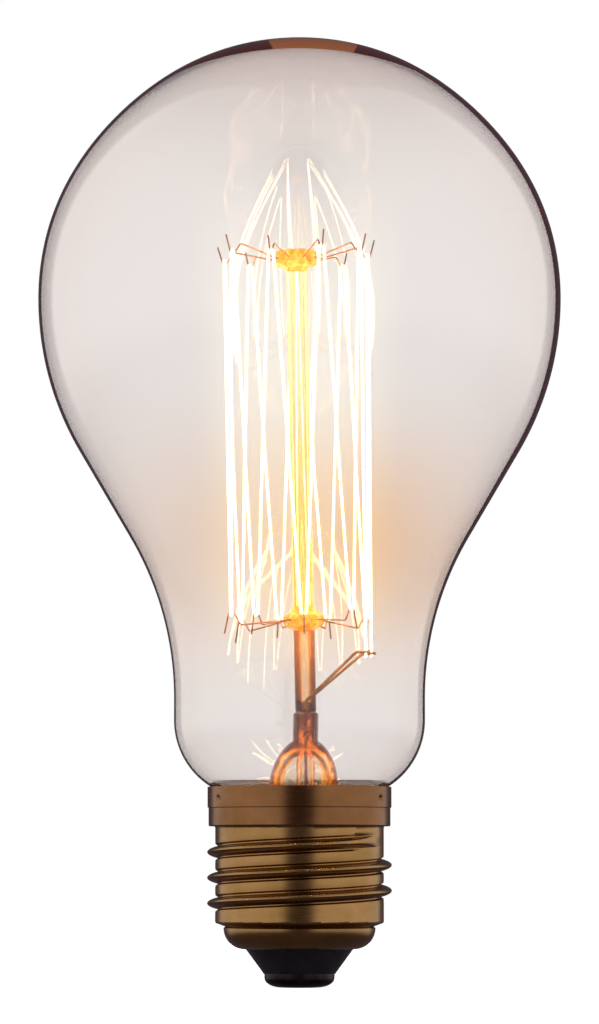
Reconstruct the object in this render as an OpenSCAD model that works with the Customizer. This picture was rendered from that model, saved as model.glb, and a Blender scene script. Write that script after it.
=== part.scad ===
// Large clear filament bulb: a pear-shaped glass envelope on a brass screw cap, with a
// squirrel-cage filament strung on two rings of hooks round a glass rod.
// Sizes are millimetres. +Z runs up the bulb's axis, -Y is the front, and the origin is
// the lowest point of the centre contact.

/* [Envelope] */
// Widest diameter of the blown glass
envelope_d = 75; // [70:0.5:78]
// Diameter of the straight neck
neck_d = 35.8; // [34.5:0.1:37.5]
// Length of the straight neck
neck_len = 3; // [1:0.5:6]
// Radius of the round flank under the widest place
flank_r = 43.2; // [40:0.2:46]
// Slope of the conical part against the axis, in degrees
cone_angle = 30.5; // [28:0.5:33]
// Radius of the hollow curve between the cone and the neck
waist_r = 45.5; // [40:0.5:50]
// Radius of the shoulder where the neck turns in to the cap
shoulder_r = 11.2; // [10.8:0.1:11.8]
// Radius of the hollow corner between the shoulder and the sealed end
seal_corner_r = 2; // [1.6:0.1:2.4]
// Height of the sealed end, where the envelope is fused to the stem
seal_z = 14; // [13:0.1:15.5]
// How far the dome is drawn in from a true ball, half way up
dome_draw = 0.4; // [0:0.05:0.6]
// Thickness of the blown glass
glass_wall = 0.7; // [0.5:0.05:1]
// Thickness of the glass in the middle of the crown, where the most of it stays
crown_wall = 1.6; // [0.8:0.1:2]

/* [Cap] */
// Height of the cap's rim above the centre contact
cap_h = 28.4; // [27.5:0.1:30]
// Diameter of the rim band, the upper half of the skirt
rim_d = 26.2; // [26.1:0.05:26.4]
// Height of the rim band
rim_h = 2.9; // [2:0.1:3.4]
// Diameter of the lower half of the skirt
skirt_d = 25.9; // [25.6:0.05:26]
// Height of the whole skirt
skirt_h = 5.6; // [5:0.1:6]
// Thickness of the brass sheet
sheet = 0.3; // [0.2:0.05:0.35]
// Diameter of the bowl under the thread
bowl_d = 21.6; // [21.6:0.1:22.4]
// Radius of the bowl's round corner
bowl_corner_r = 3; // [2.6:0.1:3]
// Height of the bowl's widest place
bowl_z = 8.4; // [8.2:0.1:8.6]
// Diameter of the groove between the bowl and the thread
groove_d = 21.1; // [20.8:0.1:21.6]
// Width of the notch in the rim that lets the side lead out
notch_w = 0.7; // [0.6:0.05:1.2]
// Depth of the notch in the rim
notch_h = 0.8; // [0.7:0.05:1]

/* [Thread] */
// Pitch of the rolled thread, seven turns to the inch
thread_pitch = 3.629; // [3.4:0.001:3.8]
// Diameter over the crests
crest_d = 26.3; // [25.6:0.05:26.4]
// Diameter over the bands between the crests
band_d = 24; // [23.8:0.05:24.2]
// Diameter in the valleys beside each crest
valley_d = 23.3; // [23.3:0.05:23.6]
// Share of the pitch that a crest takes at its foot
crest_share = 0.44; // [0.36:0.01:0.5]
// Height at which the thread starts
thread_z = 9.3; // [9.2:0.05:9.6]
// Direction in which the thread starts, in degrees from +X
thread_start = 104; // [0:4:356]

/* [Insulator and contact] */
// Diameter of the insulator where it leaves the shell
insulator_d = 15.3; // [13.6:0.1:15.4]
// Diameter of the insulator at its lower end
insulator_tip_d = 10.4; // [10.2:0.1:11]
// Height of the insulator's lower end
insulator_z = 1.9; // [1.6:0.05:2.1]
// Thickness of the insulator's disc inside the shell
insulator_disc_h = 1.9; // [1.5:0.1:2.1]
// Diameter of the insulator's bore for the centre lead
lead_bore_d = 2.4; // [1.6:0.1:3]
// Diameter of the centre contact
contact_d = 10; // [9.4:0.1:10.2]
// Diameter of the contact's flat
contact_flat_d = 5.2; // [4.8:0.1:6]
// Height of the contact's rounded edge
contact_edge_h = 1.3; // [1:0.05:1.5]
// Thickness of the contact plate
contact_sheet = 0.4; // [0.3:0.05:0.5]
// Diameter of the contact's central hole
contact_hole_d = 2; // [1.4:0.1:2.6]
// Width of the side solder
solder_w = 1.8; // [1.5:0.1:2]
// Height of the side solder over the rim's surface
solder_rise = 0.2; // [0.18:0.01:0.24]

/* [Stem] */
// Diameter of the flare tube
flare_d = 9.8; // [9:0.1:10.2]
// Thickness of the flare tube's glass
flare_wall = 0.8; // [0.6:0.05:0.9]
// Height at which the trumpet ends and the straight tube begins
trumpet_z = 19; // [18:0.1:21]
// Width of the trumpet's flat lip, under the sealed end
lip_w = 0.9; // [0.7:0.05:1.2]
// Height at which the tube starts to close towards the press
dome_z = 28.4; // [27:0.1:29]
// Height of the foot of the press
press_z = 34.8; // [34.2:0.1:35.4]
// Height of the top of the press
press_top_z = 39; // [38:0.1:40]
// Thickness of the press, seen from the front
press_t = 3.7; // [3.5:0.1:4.4]
// Width of the press, seen from the side
press_w = 8.6; // [8:0.1:9]
// Sideways shift of the press from the axis
stem_shift = 0.9; // [0:0.1:1]
// Lean of the rod and its cage to the left, in degrees
stem_lean = 1.2; // [0:0.1:1.5]
// Diameter of the exhaust tube
exhaust_d = 2.6; // [2.2:0.1:2.7]
// Thickness of the exhaust tube's glass
exhaust_wall = 0.5; // [0.35:0.05:0.6]
// Height of the exhaust tube's sealed tip
exhaust_tip_z = 9.4; // [9:0.1:12]
// Diameter of the hole blown through the foot of the press
blow_hole_d = 1.2; // [0.8:0.1:1.4]

/* [Rod and beads] */
// Diameter of the glass rod
rod_d = 3; // [2.4:0.1:3]
// Depth to which the rod is set in the press
rod_set = 1.5; // [1:0.1:2]
// Height of the lower bead's middle above the press
lower_bead_h = 13.2; // [11:0.1:18]
// Height of the upper bead's middle above the press
upper_bead_h = 65.2; // [55:0.1:66]
// Diameter of both beads
bead_d = 6; // [5.4:0.1:6.6]
// Thickness of the lower bead
lower_bead_t = 3.4; // [2.6:0.1:4]
// Thickness of the upper bead
upper_bead_t = 2.4; // [2:0.1:3]
// Thickness of glass over the rod's end in the upper bead
bead_crown = 0.5; // [0.3:0.1:0.7]

/* [Hooks] */
// Number of upper hooks; there is one lower hook less
upper_hooks = 9; // [5:1:11]
// Diameter of the hook wire
hook_d = 0.24; // [0.2:0.02:0.34]
// Radius of the ring on which the hooks carry the filament
ring_r = 10.6; // [9.5:0.1:11.5]
// Direction of the first upper hook, in degrees from +X
first_hook = -30; // [-40:1:-20]
// Distance of a hook's shoulder from the ring, inwards
hook_reach = 1.5; // [1.2:0.1:2]
// Rise of an upper hook's arm above its bead's middle
upper_arm_rise = 1.5; // [1:0.1:2]
// Height of an upper hook's seat above its bead's middle
upper_seat = -0.1; // [-0.6:0.1:0.4]
// Height of an upper hook's free end above its bead's middle
upper_tail = 2.5; // [2:0.1:3]
// Drop of a lower hook's arm below its bead's middle
lower_arm_drop = 0.8; // [0.5:0.1:1.2]
// Height of a lower hook's seat above its bead's middle
lower_seat = 1.2; // [0.8:0.1:1.6]
// Drop of a lower hook's free end below its bead's middle
lower_tail_drop = 2.2; // [1.8:0.1:2.6]
// Outward lean of a hook's free end
tail_reach = 0.9; // [0.6:0.1:1.2]
// Radius of the bend in which the filament lies
hook_bend = 0.5; // [0.45:0.01:0.6]
// Radius of the bend at the hook's shoulder
shoulder_bend = 0.4; // [0.3:0.05:0.5]
// Most by which one hook differs in height from the next
hook_scatter = 0.35; // [0:0.05:0.4]

/* [Filament and leads] */
// Outer diameter of the coiled filament wire
filament_d = 0.4; // [0.25:0.01:0.44]
// Length of the filament's loose end past a lead's eye
filament_tail = 0.9; // [0.5:0.1:1.5]
// Diameter of the lead wires
lead_d = 0.44; // [0.35:0.01:0.46]
// Distance of each lead from the middle of the press, to the front and to the back
lead_spread = 2.2; // [2:0.1:2.4]
// Height above the press at which a sealed lead is joined to an inner lead
weld_h = 0.4; // [0.2:0.1:0.8]
// Distance of the leads' eyes from the rod
eye_reach = 9.7; // [9:0.1:10.2]
// Height of the leads' eyes above the press
eye_h = 8.3; // [7:0.1:9.5]
// Direction of the front lead's eye, in degrees from +X
front_eye_angle = -27; // [-30:1:-24]
// Direction of the back lead's eye, in degrees from +X
back_eye_angle = 8; // [4:1:12]
// Length of the flat run before a lead's eye
eye_run = 1.3; // [1:0.1:1.8]
// Radius of the bends in the lead wires
lead_bend = 0.8; // [0.5:0.1:1]

/* [Fits] */
// Clearance round a wire or rod in its glass hole
bore_gap = 0.02; // [0.01:0.01:0.03]
// Clearance between the filament and the wire that carries it
seat_gap = 0.05; // [0.04:0.01:0.08]
// Clearance between the envelope's shoulder and the rim
rim_gap = 0.17; // [0.1:0.01:0.3]
// Clearance between the sealed end and the thread, which the side lead passes
neck_gap = 0.65; // [0.6:0.01:0.8]
// Clearance between the insulator and the shell's opening
insulator_gap = 0.05; // [0.02:0.01:0.1]
// Clearance of the basing cement to the glass and the shell
cement_gap = 0.02; // [0.01:0.01:0.05]

/* [Hidden] */
$fn = 96;
arc_steps = 12;
dome_steps = 24;
wire_sides = 8;
stem_sides = 32;
turn_steps = 36;
crest_steps = 6;
solder_sides = 24;
bend_steps = 4;
// How far a cut runs past what it cuts, and how far two parts of one sheet lap
past = 1;
lap = 0.1;

envelope_r = envelope_d / 2;
neck_r = neck_d / 2;
rim_r = rim_d / 2;
skirt_r = skirt_d / 2;
skirt_z = cap_h - skirt_h;
crest_r = crest_d / 2;
band_r = band_d / 2;
valley_r = valley_d / 2;
bowl_r = bowl_d / 2;
groove_r = groove_d / 2;
hook_r = hook_d / 2;
lead_r = lead_d / 2;
filament_r = filament_d / 2;
bead_r = bead_d / 2;
rod_r = rod_d / 2;
flare_r = flare_d / 2;
lower_hooks = upper_hooks - 1;

// The envelope stands on the rim, and its curves meet without a corner.
seal_r = valley_r - sheet - neck_gap;
rim_glass_r = rim_r - sheet - rim_gap;
shoulder_x = neck_r - shoulder_r;
shoulder_z = cap_h + sqrt(pow(shoulder_r, 2) - pow(rim_glass_r - shoulder_x, 2));
shoulder_sweep = acos((seal_r + seal_corner_r - shoulder_x) / (shoulder_r + seal_corner_r));
seal_corner_z = shoulder_z - (shoulder_r + seal_corner_r) * sin(shoulder_sweep);
neck_top_z = shoulder_z + neck_len;
waist_end = [neck_r + waist_r * (1 - cos(cone_angle)), neck_top_z + waist_r * sin(cone_angle)];
flank_end_r = envelope_r - flank_r * (1 - cos(cone_angle));
flank_end_z = waist_end[1] + (flank_end_r - waist_end[0]) / tan(cone_angle);
equator_z = flank_end_z + flank_r * sin(cone_angle);
// The slope above which the crown's glass grows thicker
crown_from = 30;

// The thread fills the height between the groove and the skirt.
thread_edge = 0.2;
thread_top_z = skirt_z - thread_edge;
thread_steps = round(turn_steps * ((thread_top_z - thread_z) / thread_pitch - 1));
thread_rise = (thread_top_z - thread_z) / (thread_steps / turn_steps + 1);
fade_angle = 60;
// Shares of the pitch in which a band falls to the valley beside it, and of the valley's floor
band_edge = 0.07;
valley_edge = 0.03;

// Small edges of the rolled sheet, and the floor of the bowl on which the insulator lies
rim_edge = 0.1;
skirt_edge = 0.2;
groove_h = 0.4;
insulator_edge = 0.2;
contact_gap = 0.1;
dish_h = 0.9;
bowl_floor_z = bowl_z - bowl_corner_r + sheet;
insulator_top_z = bowl_floor_z + insulator_disc_h;

// The press is a flat block with rounded corners, over the hollow of the tube.
press_edge = 0.3;
press_squareness = 4;
cavity_room = 0.15;
lead_room = 1.1;
cavity_top_z = press_z - 0.9;

// The lead bends and the eyes at their ends.
eye_bend = filament_r + lead_r + seat_gap;
foot_rise = 1.1;
eye_end = 0.8;
side_lead_r = (seal_r + valley_r - sheet) / 2;
side_lead_out = 0.1;
exhaust_clear = 0.3;
weld_z = press_top_z + weld_h;
outer_weld_z = cavity_top_z - 0.5;
notch_lead_z = cap_h - notch_h + lead_r + seat_gap;

// A hook's root ends short of the rod and runs straight out of its bead.
root_gap = 0.1;
root_run = 0.4;

hook_step = 360 / upper_hooks;
upper_names = [for (i = [1:upper_hooks]) str("upper_hook_", i)];
lower_names = [for (i = [1:lower_hooks]) str("lower_hook_", i)];

function unit(v) = v / norm(v);

function backwards(list) = [for (i = [len(list) - 1:-1:0]) list[i]];

function smooth(t) = let (s = min(max(t, 0), 1)) s * s * (3 - 2 * s);

// Points on an arc about c, from angle a0 to a1
function arc(c, r, a0, a1, n = arc_steps) =
    [for (i = [0:n]) c + r * [cos(a0 + (a1 - a0) * i / n), sin(a0 + (a1 - a0) * i / n)]];

// The same arc without its first point, for a curve that goes on from the last one
function arc_on(c, r, a0, a1, n = arc_steps) = let (p = arc(c, r, a0, a1, n)) [for (i = [1:n]) p[i]];

// Points on the round corner of radius r at b, between its legs to a and c
function corner(a, b, c, r) =
    let (
        u = unit(a - b),
        v = unit(c - b),
        half = acos(u * v) / 2,
        middle = b + unit(u + v) * r / sin(half),
        p = b + u * r / tan(half) - middle,
        q = b + v * r / tan(half) - middle,
        sweep = 180 - 2 * half
    )
    [for (i = [0:bend_steps])
        middle + (sin(sweep - sweep * i / bend_steps) * p + sin(sweep * i / bend_steps) * q) / sin(sweep)];

// A path whose inner points are rounded, each by its own radius
function rounded(path, radii) = [
    path[0],
    for (i = [1:len(path) - 2])
        each corner(path[i - 1], path[i], path[i + 1], radii[i - 1]),
    path[len(path) - 1]
];

// Joins rings of points into one closed skin
module skin(rings) {
    n = len(rings[0]);
    last = len(rings) - 1;
    sides = [
        for (i = [0:last - 1], j = [0:n - 1])
            let (k = (j + 1) % n)
            each [[i * n + j, (i + 1) * n + j, (i + 1) * n + k], [i * n + j, (i + 1) * n + k, i * n + k]]
    ];
    first_cap = [for (j = [0:n - 1]) j];
    last_cap = [for (j = [n - 1:-1:0]) last * n + j];
    polyhedron([for (ring = rings, p = ring) p], concat(sides, [first_cap, last_cap]), convexity = 8);
}

// The direction n, turned square to v
function square_to(n, v) = unit(n - (n * v) * v);

// A wire of diameter d along a path
module wire(path, d) {
    last = len(path) - 1;
    ahead = [
        for (i = [0:last])
            unit(
                (i < last ? unit(path[i + 1] - path[i]) : [0, 0, 0])
                + (i > 0 ? unit(path[i] - path[i - 1]) : [0, 0, 0])
            )
    ];
    start = unit(cross(ahead[0], abs(ahead[0][2]) < 0.9 ? [0, 0, 1] : [1, 0, 0]));
    across = [
        for (i = 0, n = start; i <= last; i = i + 1, n = i <= last ? square_to(n, ahead[i]) : n) n
    ];
    skin([
        for (i = [0:last])
            [for (j = [0:wire_sides - 1])
                path[i] + d / 2 * (cos(360 * j / wire_sides) * across[i]
                    + sin(360 * j / wire_sides) * cross(ahead[i], across[i]))]
    ]);
}

// The frame of the rod: its origin is the middle of the press's top, and it leans
module on_rod() {
    translate([stem_shift, 0, press_top_z]) rotate([0, -stem_lean, 0]) children();
}

// Half outline of the envelope from its crown to its sealed end, moved inwards by t, and by
// top in the middle of the crown
function envelope_outline(t, top) = concat(
    [for (i = [0:dome_steps])
        let (
            a = 90 - 90 * i / dome_steps,
            inwards = t + (top - t) * smooth((a - crown_from) / (90 - crown_from))
        )
        [0, equator_z] + (envelope_r - inwards - dome_draw * pow(sin(2 * a), 4)) * [cos(a), sin(a)]],
    arc_on([envelope_r - flank_r, equator_z], flank_r - t, 0, -cone_angle),
    arc([neck_r + waist_r, neck_top_z], waist_r + t, 180 - cone_angle, 180),
    arc([shoulder_x, shoulder_z], shoulder_r - t, 0, -shoulder_sweep),
    arc_on([seal_r + seal_corner_r, seal_corner_z], seal_corner_r + t, 180 - shoulder_sweep, 180),
    [[seal_r - t, seal_z]]
);

module glass_envelope() {
    color([0.93, 0.90, 0.89, 0.3])
        rotate_extrude()
            polygon(concat(envelope_outline(0, 0), backwards(envelope_outline(glass_wall, crown_wall))));
}

// One ring of the stem: half widths a and b, squarer as p rises, on the stem's bent middle line
function stem_ring(z, a, b, p) =
    let (shift = stem_shift * smooth((z - seal_z) / (press_top_z - seal_z)))
    [for (i = [0:stem_sides - 1])
        let (
            c = cos(360 * i / stem_sides),
            s = sin(360 * i / stem_sides),
            r = pow(pow(abs(c) / a, p) + pow(abs(s) / b, p), -1 / p)
        )
        [shift + r * c, r * s, z]];

// The trumpet's curve from its lip to the tube, with the wall set off by t
function trumpet_rings(t) = [
    for (i = [0:5])
        let (
            a = 18 * i,
            r = seal_r - lip_w - (seal_r - lip_w - flare_r + t) * sin(a)
        )
        stem_ring(trumpet_z - (trumpet_z - seal_z + t) * cos(a), r, r, 2)
];

// The closing dome from the tube's half width r to the half widths a and b at height top
function dome_rings(r, a, b, top) = [
    for (i = [0:6])
        let (
            t = 15 * i,
            f = pow(cos(t), 1.5)
        )
        stem_ring(dome_z + (top - dome_z) * sin(t), a + (r - a) * f, b + (r - b) * f, 2 + t / 45)
];

module stem_flare() {
    a = press_t / 2;
    b = press_w / 2;
    slot_a = exhaust_d / 2 + cavity_room;
    slot_b = lead_spread + lead_room;
    blow_z = cavity_top_z + blow_hole_d;
    color([0.95, 0.72, 0.50, 0.5])
        difference() {
            skin(concat(
                backwards(dome_rings(flare_r - flare_wall, slot_a, slot_b, cavity_top_z)),
                backwards(trumpet_rings(flare_wall)),
                [stem_ring(seal_z - flare_wall, seal_r, seal_r, 2), stem_ring(seal_z, seal_r, seal_r, 2)],
                trumpet_rings(0),
                dome_rings(flare_r, a, b, press_z),
                [
                    stem_ring(press_top_z - press_edge, a, b, press_squareness),
                    stem_ring(press_top_z, a - press_edge, b - press_edge, press_squareness)
                ]
            ));
            on_rod() translate([0, 0, -rod_set]) cylinder(r = rod_r + bore_gap, h = rod_set + past);
            for (side = [-1, 1])
                translate([stem_shift, side * lead_spread, outer_weld_z])
                    cylinder(r = lead_r + bore_gap, h = press_top_z - outer_weld_z + past);
            translate([stem_shift, 0, cavity_top_z - past])
                cylinder(d = blow_hole_d, h = blow_z - cavity_top_z + past);
            translate([stem_shift, 0, blow_z]) rotate([0, 90, 0]) cylinder(d = blow_hole_d, h = press_t);
        }
}

module exhaust_tube() {
    r = exhaust_d / 2;
    bore_r = r - exhaust_wall;
    color([0.95, 0.80, 0.62, 0.5])
        translate([stem_shift, 0, 0])
            rotate_extrude()
                polygon(concat(
                    [[bore_r, cavity_top_z], [r, cavity_top_z]],
                    arc([0, exhaust_tip_z + r], r, 0, -90, 6),
                    [[0, exhaust_tip_z + r]],
                    [[bore_r, exhaust_tip_z + 2 * r]]
                ));
}

module centre_rod() {
    color([0.98, 0.86, 0.50, 0.6])
        on_rod()
            translate([0, 0, -rod_set])
                cylinder(r = rod_r, h = rod_set + upper_bead_h + upper_bead_t / 2 - bead_crown);
}

// Radial holes for the roots of n hooks, the first one in the direction a
module root_holes(n, a) {
    for (i = [0:n - 1])
        rotate([0, 0, a - hook_step * i])
            translate([rod_r, 0, 0])
                rotate([0, 90, 0])
                    cylinder(r = hook_r + bore_gap, h = bead_r);
}

// The upper bead is flat on top and runs down onto the rod in a round funnel.
module upper_bead() {
    h = upper_bead_t / 2;
    bore = rod_r + bore_gap;
    rim_round = 0.3;
    flank_round = 0.8;
    funnel = 0.6;
    color([0.98, 0.66, 0.20, 0.7])
        on_rod()
            translate([0, 0, upper_bead_h])
                difference() {
                    rotate_extrude()
                        polygon(concat(
                            [[0, h - bead_crown + bore_gap], [0, h]],
                            arc([bead_r - rim_round, h - rim_round], rim_round, 90, 0, 4),
                            arc([bead_r - flank_round, flank_round - h], flank_round, 0, -75, 6),
                            [[rod_r + funnel / 2, -h], [bore, -h - funnel], [bore, h - bead_crown + bore_gap]]
                        ));
                    root_holes(upper_hooks, first_hook);
                }
}

// The lower bead is a round collar with a slightly longer shoulder above.
module lower_bead() {
    h = lower_bead_t / 2;
    bore = rod_r + bore_gap;
    belly = 1.1;
    collar = 0.4;
    color([0.98, 0.66, 0.20, 0.7])
        on_rod()
            translate([0, 0, lower_bead_h])
                difference() {
                    rotate_extrude()
                        polygon(concat(
                            [[bore, collar / 2 - h]],
                            arc([bead_r - belly, 0], belly, -80, 70, 12),
                            [[rod_r + collar, h - collar], [bore, h + collar]]
                        ));
                    root_holes(lower_hooks, first_hook - hook_step / 2);
                }
}

// A hook's height above the even ring, the same each time and different from hook to hook
function scatter(i, phase) = hook_scatter * sin(137 * i + phase);

// A hook's corners in its own upright plane, as [distance from the rod, height]. It leaves
// the bead, rises or falls to its shoulder, turns back to its seat and ends in a free tail.
function hook_corners(arm, seat, tail) =
    let (
        shoulder = [ring_r - hook_reach, arm],
        end = [ring_r + tail_reach, tail],
        rest = [ring_r, seat],
        half = acos(unit(shoulder - rest) * unit(end - rest)) / 2,
        drop = hook_bend * (1 / sin(half) - 1) * sign(seat - tail)
    )
    [[rod_r + root_gap, 0], [bead_r + root_run, 0], shoulder, rest + [0, drop], end];

function upper_corners(i) =
    let (s = scatter(i, 20)) hook_corners(upper_arm_rise + s, upper_seat + s, upper_tail + 1.5 * s);

function lower_corners(i) =
    let (s = scatter(i, 75)) hook_corners(-lower_arm_drop + s, lower_seat + s, -lower_tail_drop + 1.5 * s);

// The middle of a hook's seat, from its corners
function hook_seat(c) = let (bend = corner(c[2], c[3], c[4], hook_bend)) bend[bend_steps / 2];

module hook(corners, angle, bead_h) {
    path = [for (p = corners) [p[0], 0, p[1]]];
    color([0.42, 0.36, 0.32])
        on_rod()
            translate([0, 0, bead_h])
                rotate([0, 0, angle])
                    wire(rounded(path, [shoulder_bend, shoulder_bend, hook_bend]), hook_d);
}

function upper_angle(i) = first_hook - hook_step * i;

function lower_angle(i) = upper_angle(i) - hook_step / 2;

module upper_hook(i) {
    hook(upper_corners(i), upper_angle(i), upper_bead_h);
}

module lower_hook(i) {
    hook(lower_corners(i), lower_angle(i), lower_bead_h);
}

// The filament's turn round a hook's seat: over the wire with way 1, under it with way -1
function filament_turn(seat, angle, bead_h, way) =
    let (
        middle = [seat[0] * cos(angle), seat[0] * sin(angle), bead_h + seat[1]],
        along = [sin(angle), -cos(angle), 0],
        r = hook_r + filament_r + seat_gap
    )
    [for (a = [180:-45:0]) middle + r * (cos(a) * along + way * sin(a) * [0, 0, 1])];

function eye(angle) = [eye_reach * cos(angle), eye_reach * sin(angle), eye_h];

// One unbroken wire: up from the front lead, over and under the hooks in turn, and down to the back lead
function filament_path() = concat(
    [eye(front_eye_angle) - [0, 0, filament_tail], eye(front_eye_angle) + [0, 0, filament_tail]],
    [for (i = [0:upper_hooks - 1])
        each concat(
            filament_turn(hook_seat(upper_corners(i)), upper_angle(i), upper_bead_h, 1),
            i < lower_hooks
                ? filament_turn(hook_seat(lower_corners(i)), lower_angle(i), lower_bead_h, -1)
                : []
        )],
    [eye(back_eye_angle) + [0, 0, filament_tail], eye(back_eye_angle) - [0, 0, filament_tail]]
);

module filament() {
    color([1.0, 0.93, 0.72])
        on_rod() wire(filament_path(), filament_d);
}

// An inner lead rises from the press, slopes out to the filament and ends in a flat open eye
// round it. Its turn of the eye opens to the side given by way.
module inner_lead(side, angle, way) {
    foot = [0, side * lead_spread, weld_h + bore_gap];
    out = unit([cos(angle), sin(angle), 0]);
    left = [-sin(angle), cos(angle), 0] * way;
    near = eye(angle) - eye_bend * left;
    far = eye(angle) + eye_bend * left;
    turn = [for (a = [0:45:180]) eye(angle) + eye_bend * (sin(a) * out - cos(a) * left)];
    bent = rounded([foot, foot + [0, 0, foot_rise], near - eye_run * out, near], [lead_bend, lead_bend]);
    color([0.62, 0.50, 0.36])
        on_rod() wire(concat(bent, [for (i = [1:4]) turn[i]], [far - eye_end * out]), lead_d);
}

module lead_front() {
    inner_lead(-1, front_eye_angle, 1);
}

module lead_back() {
    inner_lead(1, back_eye_angle, -1);
}

// A copper-clad lead, sealed in the press from the welds above to the welds below
module sealed_lead(side) {
    color([0.72, 0.30, 0.18])
        translate([stem_shift, side * lead_spread, outer_weld_z])
            cylinder(r = lead_r, h = weld_z - outer_weld_z);
}

module sealed_lead_front() {
    sealed_lead(-1);
}

module sealed_lead_back() {
    sealed_lead(1);
}

// The front lead goes on down beside the exhaust tube to the middle of the contact.
module centre_outer_lead() {
    top = [stem_shift, -lead_spread, outer_weld_z];
    turn_z = exhaust_tip_z - exhaust_clear;
    bore_z = insulator_top_z - insulator_disc_h;
    color([0.76, 0.46, 0.28])
        wire(
            rounded(
                [top, [stem_shift, -lead_spread, turn_z], [0, 0, bore_z], [0, 0, contact_sheet / 2]],
                [lead_bend, lead_bend]
            ),
            lead_d
        );
}

// The back lead turns out under the trumpet, up between glass and thread, and out at the rim.
module side_outer_lead() {
    under = seal_z - flare_wall - lead_d;
    color([0.76, 0.46, 0.28])
        wire(
            rounded(
                [
                    [stem_shift, lead_spread, outer_weld_z],
                    [stem_shift, lead_spread, under],
                    [0, side_lead_r, under],
                    [0, side_lead_r, seal_corner_z + lead_r],
                    [0, rim_r - sheet - lead_d, notch_lead_z],
                    [0, rim_r + side_lead_out, notch_lead_z]
                ],
                [lead_bend, lead_d, lead_d / 2, lead_d / 2]
            ),
            lead_d
        );
}

// One pitch of the rolled sheet on its face t inside the outer one, as [share of the pitch,
// radius], from band to band. The crest is half an ellipse, narrower on the inner face.
function thread_section(t) = let (
    foot = crest_share / 2,
    crest = foot - t / thread_rise,
    valley = foot + valley_edge
) concat(
    [[0, band_r - t], [0.5 - valley - band_edge, band_r - t], [0.5 - valley, valley_r - t]],
    [for (i = [0:crest_steps]) let (a = 180 * i / crest_steps)
        [0.5 - crest * cos(a), valley_r - t + (crest_r - valley_r) * sin(a)]],
    [[0.5 + valley, valley_r - t], [0.5 + valley + band_edge, band_r - t]]
);
outer_section = thread_section(0);
inner_section = thread_section(sheet);
section_size = len(outer_section);

// How strongly the thread stands out at step i: it fades in and out over a part turn
function thread_strength(i) =
    let (step = fade_angle / 360 * turn_steps) smooth(i / step) * smooth((thread_steps - i) / step);

// Points of the rolled sheet, moved inwards by t: the winding strip, its last edge, and the
// flat rings that end the sheet below and above
function thread_point(i, j, t) =
    let (
        u = (t > 0 ? inner_section : outer_section)[j % section_size],
        turn = i + (j >= section_size ? turn_steps : 0),
        a = thread_start + 360 * i / turn_steps,
        r = band_r - t + (u[1] - band_r + t) * thread_strength(i),
        share = j >= section_size ? 0 : u[0]
    )
    [r * cos(a), r * sin(a), thread_z + thread_rise * (turn / turn_steps + share)];

function flat_point(i, z, t) =
    let (a = thread_start + 360 * i / turn_steps) [(band_r - t) * cos(a), (band_r - t) * sin(a), z];

// The rolled thread is one closed sheet. Its strip of one pitch winds upwards and joins its
// own earlier turn, and straight bands fill it up to flat ends.
module rolled_thread() {
    m = section_size;
    last_turn = thread_steps - turn_steps;
    strip = (thread_steps + 1) * m;
    edge = strip + turn_steps;
    skin_size = edge + 2 * turn_steps;
    // Numbers of points on the side s of the sheet: the strip's point j at step i, and the
    // points of the flat rings below and above at step i
    function upper_edge(i) = i <= last_turn ? (i + turn_steps) * m : strip + i - 1 - last_turn;
    function at(i, j, s) = s * skin_size + (j < m ? i * m + j : upper_edge(i));
    function low(i, s) = i % turn_steps == 0 ? at(0, 0, s) : s * skin_size + edge + i;
    function high(i, s) = (i - thread_steps) % turn_steps == 0
        ? at(thread_steps, m, s)
        : s * skin_size + edge + turn_steps + i - last_turn;
    function side_points(t) = concat(
        [for (i = [0:thread_steps], j = [0:m - 1]) thread_point(i, j, t)],
        [for (i = [last_turn + 1:thread_steps]) thread_point(i, m, t)],
        [for (i = [0:turn_steps - 1]) flat_point(i, thread_z, t)],
        [for (i = [0:turn_steps - 1]) flat_point(i + last_turn, thread_top_z, t)]
    );
    function side_faces(s) = concat(
        [for (i = [0:thread_steps - 1], j = [0:m - 1])
            let (a = at(i, j, s), b = at(i, j + 1, s), c = at(i + 1, j + 1, s), d = at(i + 1, j, s))
            each [[a, b, c], [a, c, d]]],
        [[low(0, s), at(1, 0, s), low(1, s)]],
        [for (i = [1:turn_steps - 2])
            each [[low(i, s), at(i, 0, s), at(i + 1, 0, s)], [low(i, s), at(i + 1, 0, s), low(i + 1, s)]]],
        [concat(
            [low(turn_steps - 1, s), at(turn_steps - 1, 0, s)],
            [for (j = [m:-1:0]) at(0, j, s)]
        )],
        [concat(
            [at(last_turn + 1, m, s)],
            [for (j = [0:m]) at(thread_steps, j, s)],
            [high(last_turn + 1, s)]
        )],
        [for (i = [last_turn + 1:thread_steps - 2])
            each [[at(i, m, s), high(i, s), high(i + 1, s)], [at(i, m, s), high(i + 1, s), at(i + 1, m, s)]]],
        [[at(thread_steps - 1, m, s), high(thread_steps - 1, s), at(thread_steps, m, s)]]
    );
    ends = [
        for (i = [0:turn_steps - 1])
            let (k = i + last_turn)
            each [
                [low(i, 0), low(i + 1, 0), low(i + 1, 1)],
                [low(i, 0), low(i + 1, 1), low(i, 1)],
                [high(k, 0), high(k + 1, 1), high(k + 1, 0)],
                [high(k, 0), high(k, 1), high(k + 1, 1)]
            ]
    ];
    // The inner faces run the other way round, each from the same first corner
    inner_faces = [for (f = side_faces(1)) concat([f[0]], [for (k = [len(f) - 1:-1:1]) f[k]])];
    polyhedron(
        concat(side_points(0), side_points(sheet)),
        concat(side_faces(0), inner_faces, ends),
        convexity = 10
    );
}

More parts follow.
